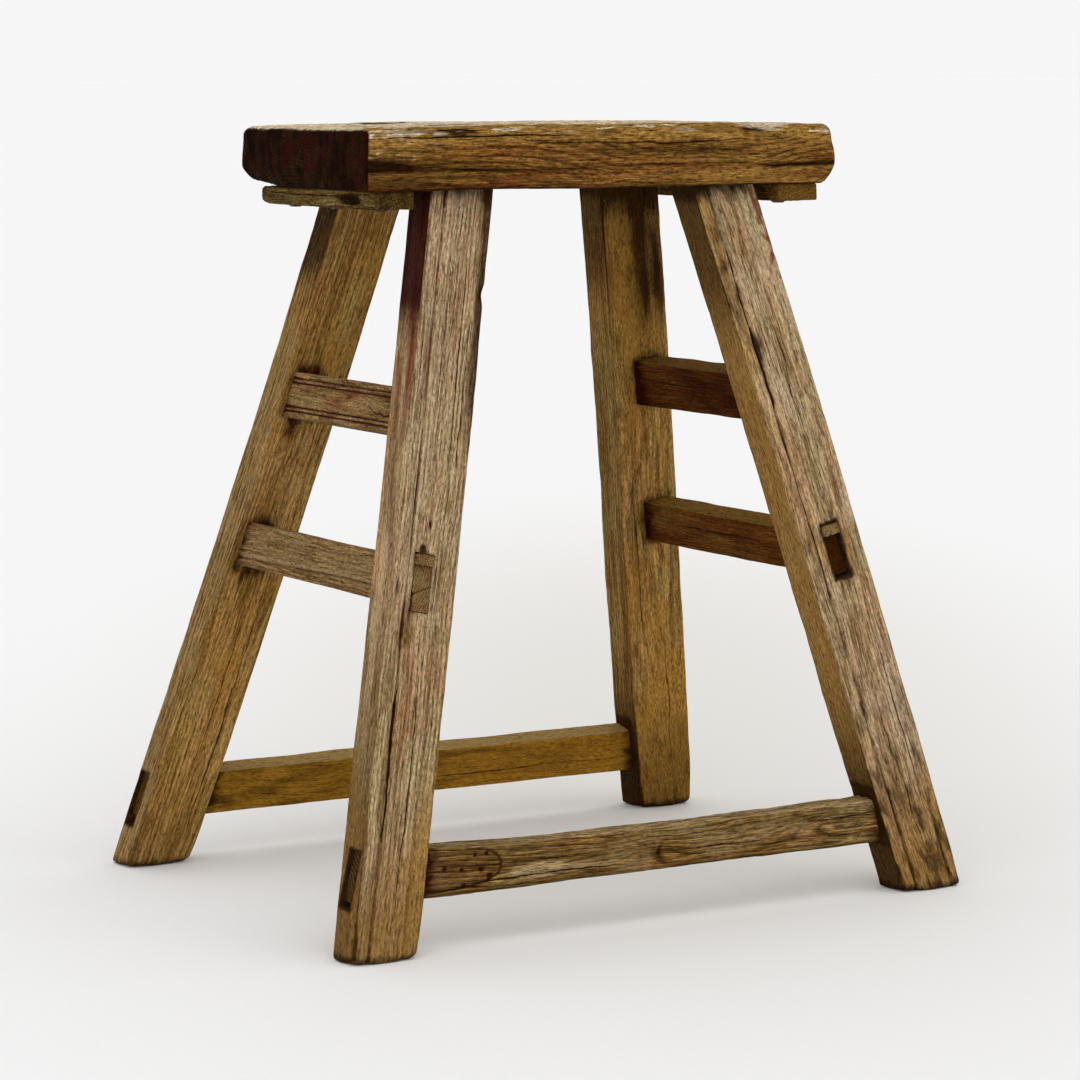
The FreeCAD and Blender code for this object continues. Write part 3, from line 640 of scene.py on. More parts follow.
def front_left_leg():
    leg = Leg(FRONT, LEFT, seed=1, girth=(0.2, -0.6), bow=(0.0, -0.2),
              head_shift=0.6, foot_shift=-2.0, foot_wear=0.6)
    b = leg.block
    b.grow(pith=(96, 18), ring=3.1, warp=2.2)
    b.weather(swell=0.3, dents=0.25, rings=0.1)
    u, v, _ = b.rest.T
    face, flank = b.facing(2, -1), b.facing(1, -1)
    left, right = -leg.hv + BEAD, leg.hv - BEAD
    left_line, right_line = leg.groove(left, 1.3), leg.groove(right, 0.8)
    worn_red = np.clip(0.55 + 0.7 * b.noise((60, 8, 8), 41), 0, 1)
    kept = step(u, 40, 190)
    b.mark(red=left_line * (0.6 + 0.5 * worn_red) * kept,
           grime=(0.45 + 0.4 * kept) * left_line + 0.35 * right_line)
    bead = step(v, left + 2, left - 2) * face
    b.mark(red=bead * step(u, 250, 400) * (0.25 + 0.3 * worn_red))
    bead = step(v, right, right + 3) * face
    b.mark(red=bead * step(u, 390, 440) * 0.35 * worn_red, grime=bead * step(u, 300, 360) * 0.3)
    # The flank darkens towards the top: dirt and dark lacquer, and painted shade under the seat.
    b.mark(red=flank * step(u, 210, 380) * (0.35 + 0.45 * worn_red),
           gold=flank * step(u, 300, 100) * 0.5, pale=face * step(u, 60, 240) * 0.47,
           grime=flank * (step(u, 350, 440) * 0.8 + step(u, 320, 60) * 0.58))
    b.mark(grime=flank * step(u, 400, 435) * 0.6 + face * step(u, 140, 20) * 0.42,
           gold=step(u, 150, 20) * 0.6 + 0.4 * step(v, 6, 18) * step(u, 300, 120))
    b.mark(grime=0.5 * step(v, 14, 19) * step(u, 290, 380))
    b.cracks(2, -1, (left + 0.6, 72, 172, 0.9, 1.0, 1.4, 1), (3.5, 18, 190, 0.35, 0.35, 1.8, 2),
             (8.5, 300, 455, 0.3, 0.3, 1.0, 3), (-3.0, 340, 450, 0.22, 0.2, 1.0, 4),
             (14.0, 250, 420, 0.22, 0.25, 1.6, 5))
    rung_u, rung_v = leg.rung
    ragged = 0.75 + 0.5 * b.noise((7, 3, 3), 40)
    leg.dent(leg.wedge_top + 19, rung_v + 2.5, (4.2, 1.5), 2.2, grime=1)
    leg.dent(rung_u - 2, -leg.hv + 5.0, (8.5, 1.6), 1.3, grime=0.9)
    leg.dent(leg.wedge_top + 3, rung_v - 1, (3.2, 2.6), 2.0, grime=1.2)
    leg.dent(rung_u - 28, rung_v - 7, (15, 6.0), 0.8, grime=ragged, gold=0.8)
    leg.dent(leg.wedge_top + 27, rung_v + 1.5, (11, 3.5), 0, red=0.6, gold=0.6)
    b.dent((430, leg.hv, -leg.hw), (4.5, 3.2, 7), 2.6, grime=0.7)
    leg.finish()


def front_right_leg():
    leg = Leg(FRONT, RIGHT, seed=2, girth=(3.0, 0.8), bow=(0.5, -0.3),
              head_shift=1.0, foot_shift=-2.2, foot_wear=-0.4, taper=0.03)
    b = leg.block
    u, v, _ = b.rest.T
    b.grow(pith=(-14, 70), ring=2.6, warp=6.5)
    for place in (405, 290, 120, 52):
        b.rings += 7 * hump(u, place, 34) * hump(v, 3, 6)
    b.weather(swell=0.35, dents=0.3, rings=0.14)
    face, flank, left = b.facing(2, -1), b.facing(1, -1), -leg.hv + BEAD
    left_line, right_line = leg.groove(left, 1.3), leg.groove(leg.hv - BEAD * 0.75, 0.7)
    b.mark(grime=0.75 * left_line + 0.35 * right_line,
           pale=face * (0.4 + 0.35 * b.noise((70, 18, 18), 43)) * step(u, 0, 40))
    edge = step(v, leg.hv - 9, leg.hv - 5) * (face + b.facing(1, 1))
    chipped = 0.6 + 0.8 * b.patches(-0.3, 0.4, (9, 4, 4), 42)
    b.mark(red=0.3 * edge * (step(u, 375, 400) + step(u, 405, 430)) * chipped)
    bead = step(v, left, left - 3) * face
    b.mark(gold=bead * step(u, 330, 380) * 0.6,
           grime=bead * step(u, 330, 440) * (0.35 + 0.5 * b.noise((40, 9, 9), 76)))
    # The flank darkens towards the top: dirt, and painted shade under the seat.
    b.mark(gold=0.85 * flank + 0.7 * step(u, 150, 20) * face,
           grime=flank * (0.15 + 0.5 * step(u, 350, 440) + 0.3 * step(u, 200, 60)))
    blots = step(b.rough((16, 6, 6), 44), -0.4, 0.6)
    b.mark(grime=face * blots * 0.36 + 0.26 * step(u, 200, 60) + 0.1 * step(u, 110, 30))
    b.cracks(2, -1, (left, 300, 455, 0.6, 0.8, 1.6, 6), (left, 190, 320, 0.3, 0.4, 1.6, 7),
             (5.0, 300, 400, 0.28, 0.3, 3.0, 8), (12.0, 60, 190, 0.25, 0.3, 2.5, 10),
             (0.0, 25, 130, 0.3, 0.3, 6.0, 9))
    rung_u, rung_v = leg.rung
    ragged = 0.45 + 0.54 * b.noise((4, 3, 3), 39)
    leg.dent(384, left + 1.6, (10, 2.4), 2.6, grime=1)
    leg.dent(rung_u - 20, rung_v + 1, (6, 4.5), 1.0, grime=ragged)
    clean = hump(np.abs(v - rung_v), 10.5, 3.2) * hump(u, rung_u, 22) * face
    b.mark(gold=0.9 * clean, grime=0.45 * b.rim(2, -1, *leg.pocket, 1.4))
    leg.finish()


def back_left_leg():
    leg = Leg(BACK, LEFT, seed=3, girth=(1.6, 0.4), bow=(1.6, 0.2),
              head_shift=1.2, foot_shift=-2.2, foot_wear=0.6)
    b = leg.block
    b.grow(pith=(60, 52), ring=2.8, warp=3.0)
    b.weather(swell=0.35, dents=0.3, rings=0.1)
    u = b.rest[:, 0]
    inner, flank = b.facing(2, -1), b.facing(1, -1)
    # The inner face and the flank darken towards the top: dirt, and painted shade under the seat; the
    # foot is dirty.
    b.mark(gold=inner * (0.4 + 0.45 * b.noise((60, 14, 14), 44)),
           grime=inner * (step(u, 300, 460) * 0.15 + step(u, 130, 20) * 0.4),
           pale=b.facing(2, 1) * 0.5 + flank * step(u, 430, 380) * 0.5)
    b.mark(grime=0.12 * b.patches(0, 0.6, (18, 6, 6), 45) + flank * (0.36 + 0.4 * step(u, 410, 445)),
           pale=inner * 0.45 * hump(u, 290, 110))
    ragged = 0.7 + 0.6 * b.noise((9, 3, 3), 45)
    for position, lacquer in (("upper", 0.75), ("lower", 0.15)):
        joint = middle_of(leg.axes.own(cad_points(f"rung_{position}_left")))
        stain = b.spot((joint[0] + 20, joint[1], -leg.hw), (7, 9, 6))
        stain += b.spot((joint[0] - 25, joint[1] - 3, -leg.hw), (11, 7, 6))
        b.mark(grime=0.8 * stain * ragged, red=lacquer * np.clip(stain, 0, 1))
    b.cracks(2, -1, (13.0, 20, 200, 0.35, 0.5, 2.2, 11), (3.0, 60, 190, 0.25, 0.25, 1.8, 12))
    b.cracks(2, 1, (-6.0, 30, 420, 0.5, 0.5, 2.4, 14))
    b.cracks(1, -1, (6.0, 100, 300, 0.25, 0.3, 1.6, 15))
    leg.finish()


def back_right_leg():
    leg = Leg(BACK, RIGHT, seed=4, girth=(0.8, 1.4), bow=(0.2, 0.0),
              head_shift=1.4, foot_shift=-2.0, foot_wear=0.6, taper=0.05)
    b = leg.block
    b.grow(pith=(-30, 66), ring=2.9, warp=4.5)
    b.weather(swell=0.35, dents=0.3, rings=0.12)
    u, v, _ = b.rest.T
    top, shoulder = step(u, 330, 420), leg.axes.shoulder
    inner, flank = b.facing(2, -1), b.facing(1, -1)
    # The flank and the inner face darken towards the top: dirt, and painted shade under the seat.
    b.mark(gold=inner * (0.4 + 0.5 * b.noise((60, 14, 14), 46) + hump(v, -9, 9) * top),
           red=flank * 0.16, grime=flank * (0.4 + 0.3 * step(u, 395, 450)))
    b.mark(grime=inner * (0.4 * top + 0.4 * step(u, shoulder - 34, shoulder - 10)))
    b.mark(grime=inner * 0.3 * hump(v, 3, 7) * step(u, 360, 400) + 0.56 * step(u, 150, 20))
    stain = np.clip(b.noise((60, 7, 7), 47) + 0.55, 0, 1) * (hump(v, 6, 4) + 0.8 * hump(v, 17, 5))
    b.mark(grime=0.75 * stain * step(u, 345, 430) * inner)
    b.mark(grime=0.12 * b.patches(0, 0.6, (18, 6, 6), 48) * inner,
           gold=0.9 * step(u, 140, 30) * inner, pale=b.facing(2, 1) * 0.5 + b.facing(1, 1) * 0.4)
    b.cracks(2, -1, (-12.0, 120, 300, 0.25, 0.3, 2.0, 16), (6.0, 30, 150, 0.22, 0.3, 2.6, 17))
    b.cracks(2, 1, (5.0, 90, 430, 0.45, 0.45, 2.4, 18))
    leg.finish()


# ---- rungs and stretchers

BAR_CELL = 0.95  # mm between grid lines
INTO_LEG = 5.0  # mm that a bar's full section runs on into the leg, out of sight
CUT_BLEND = 30.0  # mm over which a bar's square section turns to the leg's rake


class Bar:
    """A rung or stretcher between two legs, with a tenon on each end."""

    def __init__(self, node, along, v, w, ends, seed, depth, tenon_half, tenon_shift, proud=(0, 0)):
        flat = Axes((0, 0, 0), along, v, w)
        own = flat.own(cad_points(node))
        middle = middle_of(own)
        middle[0] = 0
        self.node = node
        self.axes = Axes(flat.stool(middle), along, v, w)
        self.half = hv, hw = half_of(own)[1:]
        axis = int(np.argmax(along))
        self.near, self.far, self.slope = [], [], []
        for side, leg, lift in zip((-1, 1), ends, proud):
            reach = leg.half[1] if axis == 1 else leg.half[0] / math.cos(leg.lean)
            face = leg.middle_at(self.axes.origin[2])[axis] - side * reach
            self.near.append(face + side * INTO_LEG)
            self.far.append(face + side * ((depth or 2 * reach) + lift))
            self.slope.append(leg.run[axis] * w[2])
        self.tenon, self.tenon_shift = np.array(tenon_half) / self.half, tenon_shift
        self.block = Block(seed, (*self.far, BAR_CELL, self.near), (-hv, hv, BAR_CELL),
                           (-hw, hw, BAR_CELL))
        u, (low, high) = self.block.rest[:, 0], self.near
        self.bare = step(u, low - 1, low) * step(u, high + 1, high)

    def round_off(self, radius):
        self.block.round_off(np.where(self.bare > 0, radius, 0.7))

    def finish(self, slot, dirt=0.7, reach=6.5, end_dirt=0.8):
        """Dirty the ends, step in to the tenons and cut the ends parallel to the legs."""
        b = self.block
        u, (low, high) = b.rest[:, 0], self.near
        grit = 0.7 + 0.6 * b.noise((7, 5, 5), b.seed + 35)
        for past in (u - low, high - u):
            away = np.maximum(past - INTO_LEG, 0)
            b.mark(grime=dirt * np.exp(-(away / reach) ** 2) * self.bare * grit)
        b.mark(end=end_dirt * b.ends())
        tenon = (u < low) | (u > high)
        b.at[tenon, 1:] *= self.tenon
        b.at[tenon, 1] += self.tenon_shift
        b.at[:, 0] += b.at[:, 2] * (self.slope[0] * step(u, low + CUT_BLEND, low)
                                    + self.slope[1] * step(u, high - CUT_BLEND, high))
        finish(self.node, b, self.axes, slot)


RUNG_TENON = (6.3, 14.5)  # mm, half sizes
RUNG_TENON_SHIFT = 3.9  # mm: the tenon's middle, inboard of the rung's
BLIND = 18.0  # mm that an upper rung's tenon goes into the leg


def up_leg(lean):
    """The directions across and up a leg's side that leans in X."""
    return (math.cos(lean), 0, -math.sin(lean)), (math.sin(lean), 0, math.cos(lean))


def rung(position, side, seed, proud=(0, 0)):
    """A rung's bar, its v pointing right and its w up the legs."""
    ends = (LEGS[FRONT, side], LEGS[BACK, side])
    depth = BLIND if position == "upper" else None
    return Bar(f"rung_{position}_{side}", (0, 1, 0), *up_leg(ends[0].lean), ends, seed, depth,
               RUNG_TENON, -SIDE[side] * RUNG_TENON_SHIFT, proud)


def upper_left_rung():
    bar = rung("upper", LEFT, seed=5)
    b = bar.block
    bar.round_off(b.worn(1.4, 0.8, most=3))
    b.grow(pith=(60, -6), ring=3.0, warp=4.0)
    b.weather(swell=0.25, dents=0.2, rings=0.1)
    outer = b.facing(1, -1)
    lines = sum(np.clip(1 - np.abs(b.rest[:, 2] - level) / 1.25, 0, 1)
                for level in (11.2, 8.2, -8.0, -11.0))
    b.swell(-1.0 * lines * (outer + b.facing(1, 1)))
    b.mark(grime=1.2 * lines * outer, pale=0.35 * outer,
           red=outer * (0.46 + 0.2 * b.noise((26, 5, 5), 48) + 0.3 * lines))
    b.cracks(1, -1, (-2.0, -98, -30, 0.35, 0.3, 5.0, 20))
    bar.finish("rung_left_wood")


def lower_left_rung():
    bar = rung("lower", LEFT, seed=6, proud=(0.0, -0.4))
    b = bar.block
    bar.round_off(b.worn(2.6, 1.2))
    b.grow(pith=(-52, 30), ring=2.4, warp=3.0)
    b.weather(swell=0.5, dents=0.35, rings=0.1)
    u, v, w = b.rest.T
    outer = b.facing(1, -1)
    split = -7.0 - 0.022 * u + 0.8 * b.along(30, 49)
    b.swell(-0.9 * step(w, split + 0.5, split - 0.5) * outer)
    b.at[:, 2] += bar.bare * (1.5 + 1.0 * step(w, 6, -12))
    butt_line = (u < bar.far[0] + 2) * hump(w - 0.35 * v, -1, 1.0)
    b.mark(grime=outer * (0.35 + 0.3 * hump(w, split - 0.9, 0.8)) + 0.8 * butt_line,
           pale=outer * (0.45 + 0.9 * hump(w, split + 1.2, 1.2)))
    b.dent((-110, -bar.half[0], 10), (9, 8, 3.5), 0, gold=1, red=0.55)
    bar.finish("rung_left_wood", end_dirt=0.45)


def right_rung(position, seed, proud, heavy, sag):
    bar = rung(position, RIGHT, seed, proud)
    b = bar.block
    bar.round_off(b.worn(1.5, 0.9, most=4))
    b.grow(pith=(34, 58), ring=2.6, warp=4.0)
    b.weather(swell=0.4, dents=0.35, rings=0.12)
    inner = b.facing(1, -1)
    # The inner face is darkened by heavy: dirt, and painted shade inside the stool.
    b.mark(red=inner * (0.3 + 0.3 * b.noise((30, 8, 8), 50 + seed)),
           grime=inner * (heavy + 0.3 * b.noise((40, 9, 9), 52 + seed)),
           gold=b.facing(2, 1) * 0.8 + inner * 0.3, pale=b.facing(1, 1) * 0.5)
    b.cracks(1, -1, (3.0, -60, 70, 0.3, 0.25, 2.0, 21 + seed))
    b.at[:, 2] += sag * step(b.rest[:, 2], 0, -12)
    bar.finish("rung_right_wood", dirt=0.85, reach=12)


STRETCHER_TENON = 6.4  # mm, half the thickness
STRETCHER_PROUD = (-0.8, -0.6)  # mm that its tenon ends stand out of the legs


def front_stretcher():
    ends = (LEGS[FRONT, LEFT], LEGS[FRONT, RIGHT])
    low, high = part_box("stretcher_front")
    tenon = (STRETCHER_TENON, (high.z - low.z) / MM / 2 - 1)
    bar = Bar("stretcher_front", (1, 0, 0), (0, 1, 0), (0, 0, 1), ends, 9, None, tenon, -2.0,
              STRETCHER_PROUD)
    b = bar.block
    u, _, w = b.rest.T
    bar.round_off(np.clip(b.worn(3.0, 1.2, most=7) + 2.5 * step(w, 4, -10), 0.5, 7.5))
    b.grow(pith=(30, -46), ring=3.6, warp=5.5)
    front, hv, hw = b.facing(1, -1), *bar.half
    oval = np.abs((u + 180) / 62) ** 3.4 + np.abs((w - 3) / 15) ** 2.4
    scarf = step(oval, 1.06, 0.94) * front
    b.rings = np.where(scarf > 0.5, 0.8 * b.rings + 0.35 * (w + 0.1 * u), b.rings)
    b.rings -= 16 * hump(u, 150, 48) * hump(w, 3, 9) + 7 * hump(u, -8, 22) * hump(w, -3, 8)
    b.weather(swell=0.8, dents=0.45, rings=0.45, fibres=0.14)
    rim = hump(oval, 1.05, 0.1) * front
    b.swell(0.9 * scarf - 0.6 * rim)
    b.mark(grime=0.7 * rim + 0.37 * scarf, red=0.5 * scarf)
    b.dent((-92, -hv, -4), (20, 6, 5), 0, pale=1)
    holes = np.random.RandomState(5)
    for _ in range(16):
        place = (holes.uniform(-215, -125), -hv, holes.uniform(-11, 12))
        size = holes.uniform(1.0, 1.9)
        b.dent(place, (size, 4, size), 1.6, grime=1.2)
    b.dent((-176, -hv, -2), (4.5, 5, 3.8), 1.4, grime=1)
    break_line = hump(u - 0.05 * (w + 3) ** 2, 0, 2.2) * hump(w, -2, 9) * front
    b.swell(-1.8 * break_line)
    b.mark(grime=0.9 * break_line + 0.35 * front * step(w, -5, -16),
           pale=0.55 * b.facing(2, 1) + 0.4 * front * step(u, 40, 120))
    b.mark(pale=0.6 * front * hump(u, -60, 55) * hump(w, -6, 7))
    b.cracks(1, -1, (4.0, -130, -40, 0.3, 0.5, 3.0, 31), (-8.0, -150, -20, 0.4, 0.5, 2.4, 32),
             (-3.0, 10, 90, 0.3, 0.4, 2.0, 33), (7.0, 120, 205, 0.3, 0.3, 3.0, 34))
    b.cracks(2, 1, (1.0, -160, 40, 0.4, 0.4, 2.0, 35))
    dip = 3.4 * step(u, -190, -90) + 1.0 * hump(u, -10, 90) - 0.8 * hump(u, -200, 25)
    b.at[:, 2] -= bar.bare * (2.0 + dip * step(w, -hw, hw))
    bar.finish("stretcher_front_wood")


def back_stretcher():
    ends = (LEGS[BACK, LEFT], LEGS[BACK, RIGHT])
    lean = math.atan(-ends[0].run[1])
    v = (0, math.cos(lean), math.sin(lean))
    w = (0, -math.sin(lean), math.cos(lean))
    bar = Bar("stretcher_back", (1, 0, 0), v, w, ends, 10, None, (STRETCHER_TENON, 15.75), 0.0,
              STRETCHER_PROUD)
    b = bar.block
    bar.round_off(b.worn(1.8, 0.9, most=4))
    b.grow(pith=(50, 30), ring=2.7, warp=3.0)
    b.weather(swell=0.4, dents=0.25, rings=0.07)
    u, _, w = b.rest.T
    front = b.facing(1, -1)
    b.mark(gold=front * 0.8, pale=b.facing(2, 1) * 0.85 + b.facing(1, 1) * 0.4,
           grime=front * (0.3 + 0.3 * b.rough((34, 9, 9), 38)))
    b.mark(grime=0.18 * front * step(u, 60, -100))
    b.cracks(1, -1, (-5.0, -60, 180, 0.25, 0.2, 2.0, 36))
    b.at[:, 2] -= 1.6 * step(w, 0, 14) * step(u, -60, 60) - 1.8 * step(w, 0, -14) * step(u, 60, -60)
    bar.finish("stretcher_back_wood")


# ---- seat, cleats and wedges

def box_of(node, u, v):
    """A level piece's axes and half sizes."""
    low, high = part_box(node)
    axes = Axes(np.array((low + high) / 2) / MM, u, v, (0, 0, 1))
    return axes, np.array(high - low) / MM / 2


SEAT_CELL = (1.4, 1.35, 1.25)  # mm between grid lines along u, v and w
CLEAT_CELL = (0.9, 0.9, 0.8)
RUNG_WEDGE_CELL = (0.5, 0.45, 0.45)
SEAT_WEDGE_CELL = (0.7, 0.4, 0.5)
SEAT_WEDGE_LENGTH = 27.0  # mm
SEAT_MOUTH_DEPTH = 10.0  # mm that a tenon's mouth is sunk in the seat's top


def seat():
    axes, (hu, hv, hw) = box_of("seat_plank", (1, 0, 0), (0, 1, 0))
    mouths = {}
    for place, leg in LEGS.items():
        head = axes.own(leg.middle_at(leg.top * leg.turn[0][2]))
        mouths[place] = head[:2], leg.half * leg.tenon / (math.cos(leg.lean), 1) + MOUTH_GAP
    u_cuts = edges(mouths[FRONT, LEFT], 0) + edges(mouths[FRONT, RIGHT], 0)
    v_cuts = edges(mouths[FRONT, LEFT], 1) + edges(mouths[BACK, LEFT], 1)
    b = Block(12, (-hu, hu, SEAT_CELL[0], u_cuts), (-hv, hv, SEAT_CELL[1], v_cuts),
              (-hw, hw, SEAT_CELL[2]))
    u, v, w = b.rest.T
    radius = b.worn(2.0, 1.0, most=9) + 3.4 * step(w, -4, 12)
    radius += 2.4 * step(u, hu - 40, hu) * step(w, 0, 15)
    radius *= 1 - 0.25 * step(u, -hu + 26, -hu + 8) * step(v, -hv + 26, -hv + 8)
    b.round_off(np.clip(radius, 0.6, 10))
    b.grow(pith=(18, -62), ring=2.5, warp=4.5)
    b.rings += (9.0 * step(u, -90, 70) - 5.0 * step(u, 90, 170)) * b.sides()
    front, top, left = b.facing(1, -1), b.facing(2, 1), b.facing(0, -1)
    b.rings += 7 * b.spot((hu - 46, -hv, hw - 3), (17, 20, 7))
    b.weather(swell=0.7, dents=0.45, rings=0.16, fibres=0.12)
    b.swell(top * (0.5 * b.rough((60, 9, 9), 61) - 0.8 * b.patches(0.25, 0.7, (36, 7, 7), 62)))

    # The sawn and lacquered left end.
    saw = np.cos(2 * np.pi * (v * 0.8 + w * 0.6) / 3.4)
    b.swell(0.16 * saw * left * step(v, -20, -60))
    b.mark(end=left + b.facing(0, 1) * 0.75, grime=left * (0.7 + 0.5 * b.rough((9, 6, 12), 63)),
           red=left * np.clip(0.25 + 0.9 * b.noise((9, 10, 18), 64), 0, 0.8))

    # The front edge: lacquer is left below a wavering line, and the left corner is fuzzy.
    line = -hw + 13.5 + 2.0 * b.along(60, 65, 3)
    below = step(w, line + 0.6, line - 0.6) * front
    b.swell(-0.35 * below)
    b.mark(red=below * (0.46 + 0.4 * b.noise((50, 9, 9), 66)),
           gold=0.35 * below + 0.8 * front * step(w, 6, 15),
           grime=hump(w, line, 1.3) * front * (0.55 + 0.5 * b.along(40, 74)))
    b.mark(grime=front * 0.45 * b.patches(-0.1, 0.5, (80, 20, 7), 67))
    fuzzy = step(u, -hu + 80, -hu + 20) * step(w, line, line + 5) * front
    b.mark(grime=front * (0.4 * hump(w, line + 4, 4) * step(u, 40, -120) + 0.2 * step(u, 0, -hu)),
           pale=fuzzy * (0.3 + 0.3 * b.rough((6, 3, 3), 73)), gold=0.4 * fuzzy)
    b.mark(gold=front * (0.3 + 0.3 * b.noise((60, 20, 6), 75)) * step(u, 20, 100))
    b.swell(0.25 * fuzzy * b.noise(2.5, 68))

    # The worn top and its flaking front lip.
    worn = top * (0.85 + 0.3 * b.noise((70, 14, 14), 69)) * step(v, -hv + 3, -hv + 12)
    lip = hump(w, hw - 2, 5) * (front + top * step(v, -hv + 12, -hv + 4))
    flakes = step(b.rough((24, 12, 5), 71), 0.0, 0.5) * lip
    b.mark(pale=worn, gold=0.3 * top * b.patches(0.1, 0.6, (60, 20, 20), 70))
    b.mark(pale=0.5 * flakes + 0.22 * lip, gold=0.9 * lip,
           grime=0.5 * b.patches(0.3, 0.6, (30, 12, 5), 72) * lip * (1 - flakes))
    b.swell(-0.9 * flakes)
    b.dent((hu - 46, -hv, hw), (15, 9, 5), 2.0)
    b.dent((-hu + 60, -hv, hw), (26, 6, 4), 1.2)
    b.dent((-20, -hv, hw), (18, 7, 4), 1.2)
    b.dent((40, hv, hw), (20, 8, 5), 2.0)
    b.dent((-120, hv, hw), (12, 7, 5), 2.0)
    b.dent((hu - 58, -hv + 1, hw - 1), (5, 5, 4), 2.2, grime=1)
    # The underside is darkened: painted shade under the seat.
    b.mark(grime=b.facing(2, -1) * 0.65)
    b.cracks(2, 1, (-hv + 13, -hu + 4, -30, 0.9, 1.2, 2.5, 41), (-10, -hu + 2, 40, 0.7, 0.9, 4, 42),
             (38, 30, hu - 3, 0.8, 1.0, 4, 43), (-48, 60, hu - 3, 0.6, 0.8, 3, 44))
    b.cracks(1, -1, (13.5, -hu + 6, -20, 0.45, 0.5, 1.2, 45), (9.0, -60, 120, 0.3, 0.3, 2.0, 46))
    b.cracks(1, 1, (3.0, -120, 90, 0.5, 0.5, 2.0, 47))

    # The mouths for the tenons, then the plank's own shape: undercut ends and a bowed top.
    for rectangle in mouths.values():
        b.mark(grime=0.9 * b.rim(2, 1, *rectangle, 3.0))
        b.sink(2, 1, *rectangle, SEAT_MOUTH_DEPTH)
    under = np.clip((-hw + 13 - w) / 13, 0, 1)
    for side, inset in ((-1, 7.0 * step(v, -hv + 10, hv - 30)), (1, 9.0)):
        b.at[:, 0] -= side * inset * under ** 1.5 * step(side * u, hu - 34, hu)
    b.at[:, 1] -= 4.0 * under * step(v, hv - 30, hv)
    b.at[:, 0] *= 1 + 2.8 / hu
    b.at[:, 0] += 4.0 * step(v, hv, -hv) * step(-u, hu - 90, hu) + 1.6 * step(u, hu - 60, hu)
    corner = step(u, -hu + 50, -hu + 8) * step(v, hv - 50, hv - 8)
    b.at[:, 2] += step(w, 0, hw) * (1.3 - 1.9 * (u / hu) ** 2) + 3.5 * under * corner
    finish("seat_plank", b, axes, "seat_wood")


def cleat(side, seed, longer, wider, end_dirt):
    axes, (hv, hu, hw) = box_of(f"cleat_{side}", (0, 1, 0), (1, 0, 0))
    b = Block(seed, *zip((-hu, -hv, -hw), (hu, hv, hw), CLEAT_CELL))
    u, v, w = b.rest.T
    outward = SIDE[side]
    b.round_off(np.clip(b.worn(1.4, 0.8, most=3.5) + 1.5 * step(u, hu - 12, hu), 0.5, 4.5))
    b.grow(pith=(14, -34), ring=2.4, warp=3.5)
    b.weather(swell=0.5, dents=0.4, rings=0.12)
    b.mark(grime=0.35 * b.facing(1, outward) * b.patches(0, 0.5, (30, 9, 5), seed),
           pale=0.35 * b.sides(), end=end_dirt * b.ends())
    # The underside is darkened: painted shade under the cleat, beneath the seat.
    b.mark(grime=0.4 * b.facing(2, -1))
    if side == LEFT:
        split = b.spot((-hu + 36, -hv, 1), (13, 5, 2.2)) + b.spot((-hu + 30, -hv, -1.5), (9, 5, 1.7))
        whole = 1 - np.clip(split, 0, 1)
        b.swell(-3.2 * split)
        b.mark(grime=2.0 * split)
        b.dent((-hu + 54, -hv, -1), (15, 5, 2.5), 0, pale=0.9 * whole)
        b.at[:, 2] += 1.0 * step(u, hu - 14, hu) * step(w, hw, -hw)
    else:
        b.mark(gold=0.9 * step(u, -hu + 40, -hu))
    b.cracks(1, outward, (2.0, -60, 70, 0.35, 0.35, 1.0, 50 + seed))
    b.at[:, 1] += outward * wider * step(outward * v, 0, hv)
    b.at[:, 0] += longer * step(u, 0, hu)
    finish(f"cleat_{side}", b, axes, "cleat_wood")


def rung_wedge(end, side, seed, proud, broken=False):
    """The wedge above a through tenon, its head in the mouth on the leg's outer face."""
    node = f"wedge_rung_{end}_{side}"
    leg, out = LEGS[end, side], SIDE[end]
    flat = Axes((0, 0, 0), (0, out, 0), *up_leg(leg.lean))
    own = flat.own(cad_points(node))
    middle, (hu, hv, hw) = middle_of(own), half_of(own)
    axes = Axes(flat.stool(middle), *flat.turn)
    b = Block(seed, *zip((-hu, -hv, -hw), (hu + proud, hv, hw), RUNG_WEDGE_CELL))
    u, v, w = b.rest.T
    b.round_off(0.6)
    b.grow(pith=(20, 8), ring=1.7, warp=1.0)
    b.swell(0.25 * b.rough((6, 3, 3), seed) + 0.25 * b.noise((2, 1.2, 1.2), seed + 1))
    b.lift_rings(0.05)
    if broken:
        b.at[:, 0] -= 2.6 * step(w, hw - 2.6, hw) * step(np.abs(v + 0.5), 4.5, 1.5) * step(u, 0, hu)
    b.mark(grime=0.45 * step(w, hw - 1.5, hw) + 0.2, end=0.25 * b.ends())
    thin = half_of(own[own[:, 0] < middle[0]])[2] / hw
    taper = thin + (1 - thin) * (u + hu) / (2 * hu)
    b.at[:, 2] = -hw + (b.at[:, 2] + hw) * taper
    b.at[:, 0] += out * leg.run[1] * math.cos(leg.lean) * b.at[:, 2]
    finish(node, b, axes, "wedge_wood")


def seat_wedge(end, side, seed):
    """The wedge that spreads a leg's tenon, its head level with the seat's top."""
    node = f"wedge_seat_{end}_{side}"
    leg, points = LEGS[end, side], cad_points(node)
    head = points[points[:, 2] > points[:, 2].max() - TOUCH]
    hv, hw = half_of(head)[:2]
    b = Block(seed, *zip((-SEAT_WEDGE_LENGTH, -hv, -hw), (0.0, hv, hw), SEAT_WEDGE_CELL))
    b.round_off(0.35)
    b.grow(pith=(12, 20), ring=1.6, warp=1.0)
    b.swell(0.15 * b.rough((5, 2.5, 2.5), seed))
    b.lift_rings(0.04)
    b.mark(grime=0.35, end=0.5 * b.ends())
    b.at[:, 1] *= 1 + 0.75 * b.rest[:, 0] / SEAT_WEDGE_LENGTH
    b.at[:, 0] += leg.level_slope * b.at[:, 1]
    finish(node, b, Axes(middle_of(head), *leg.turn), "wedge_wood")


# ---- the pieces

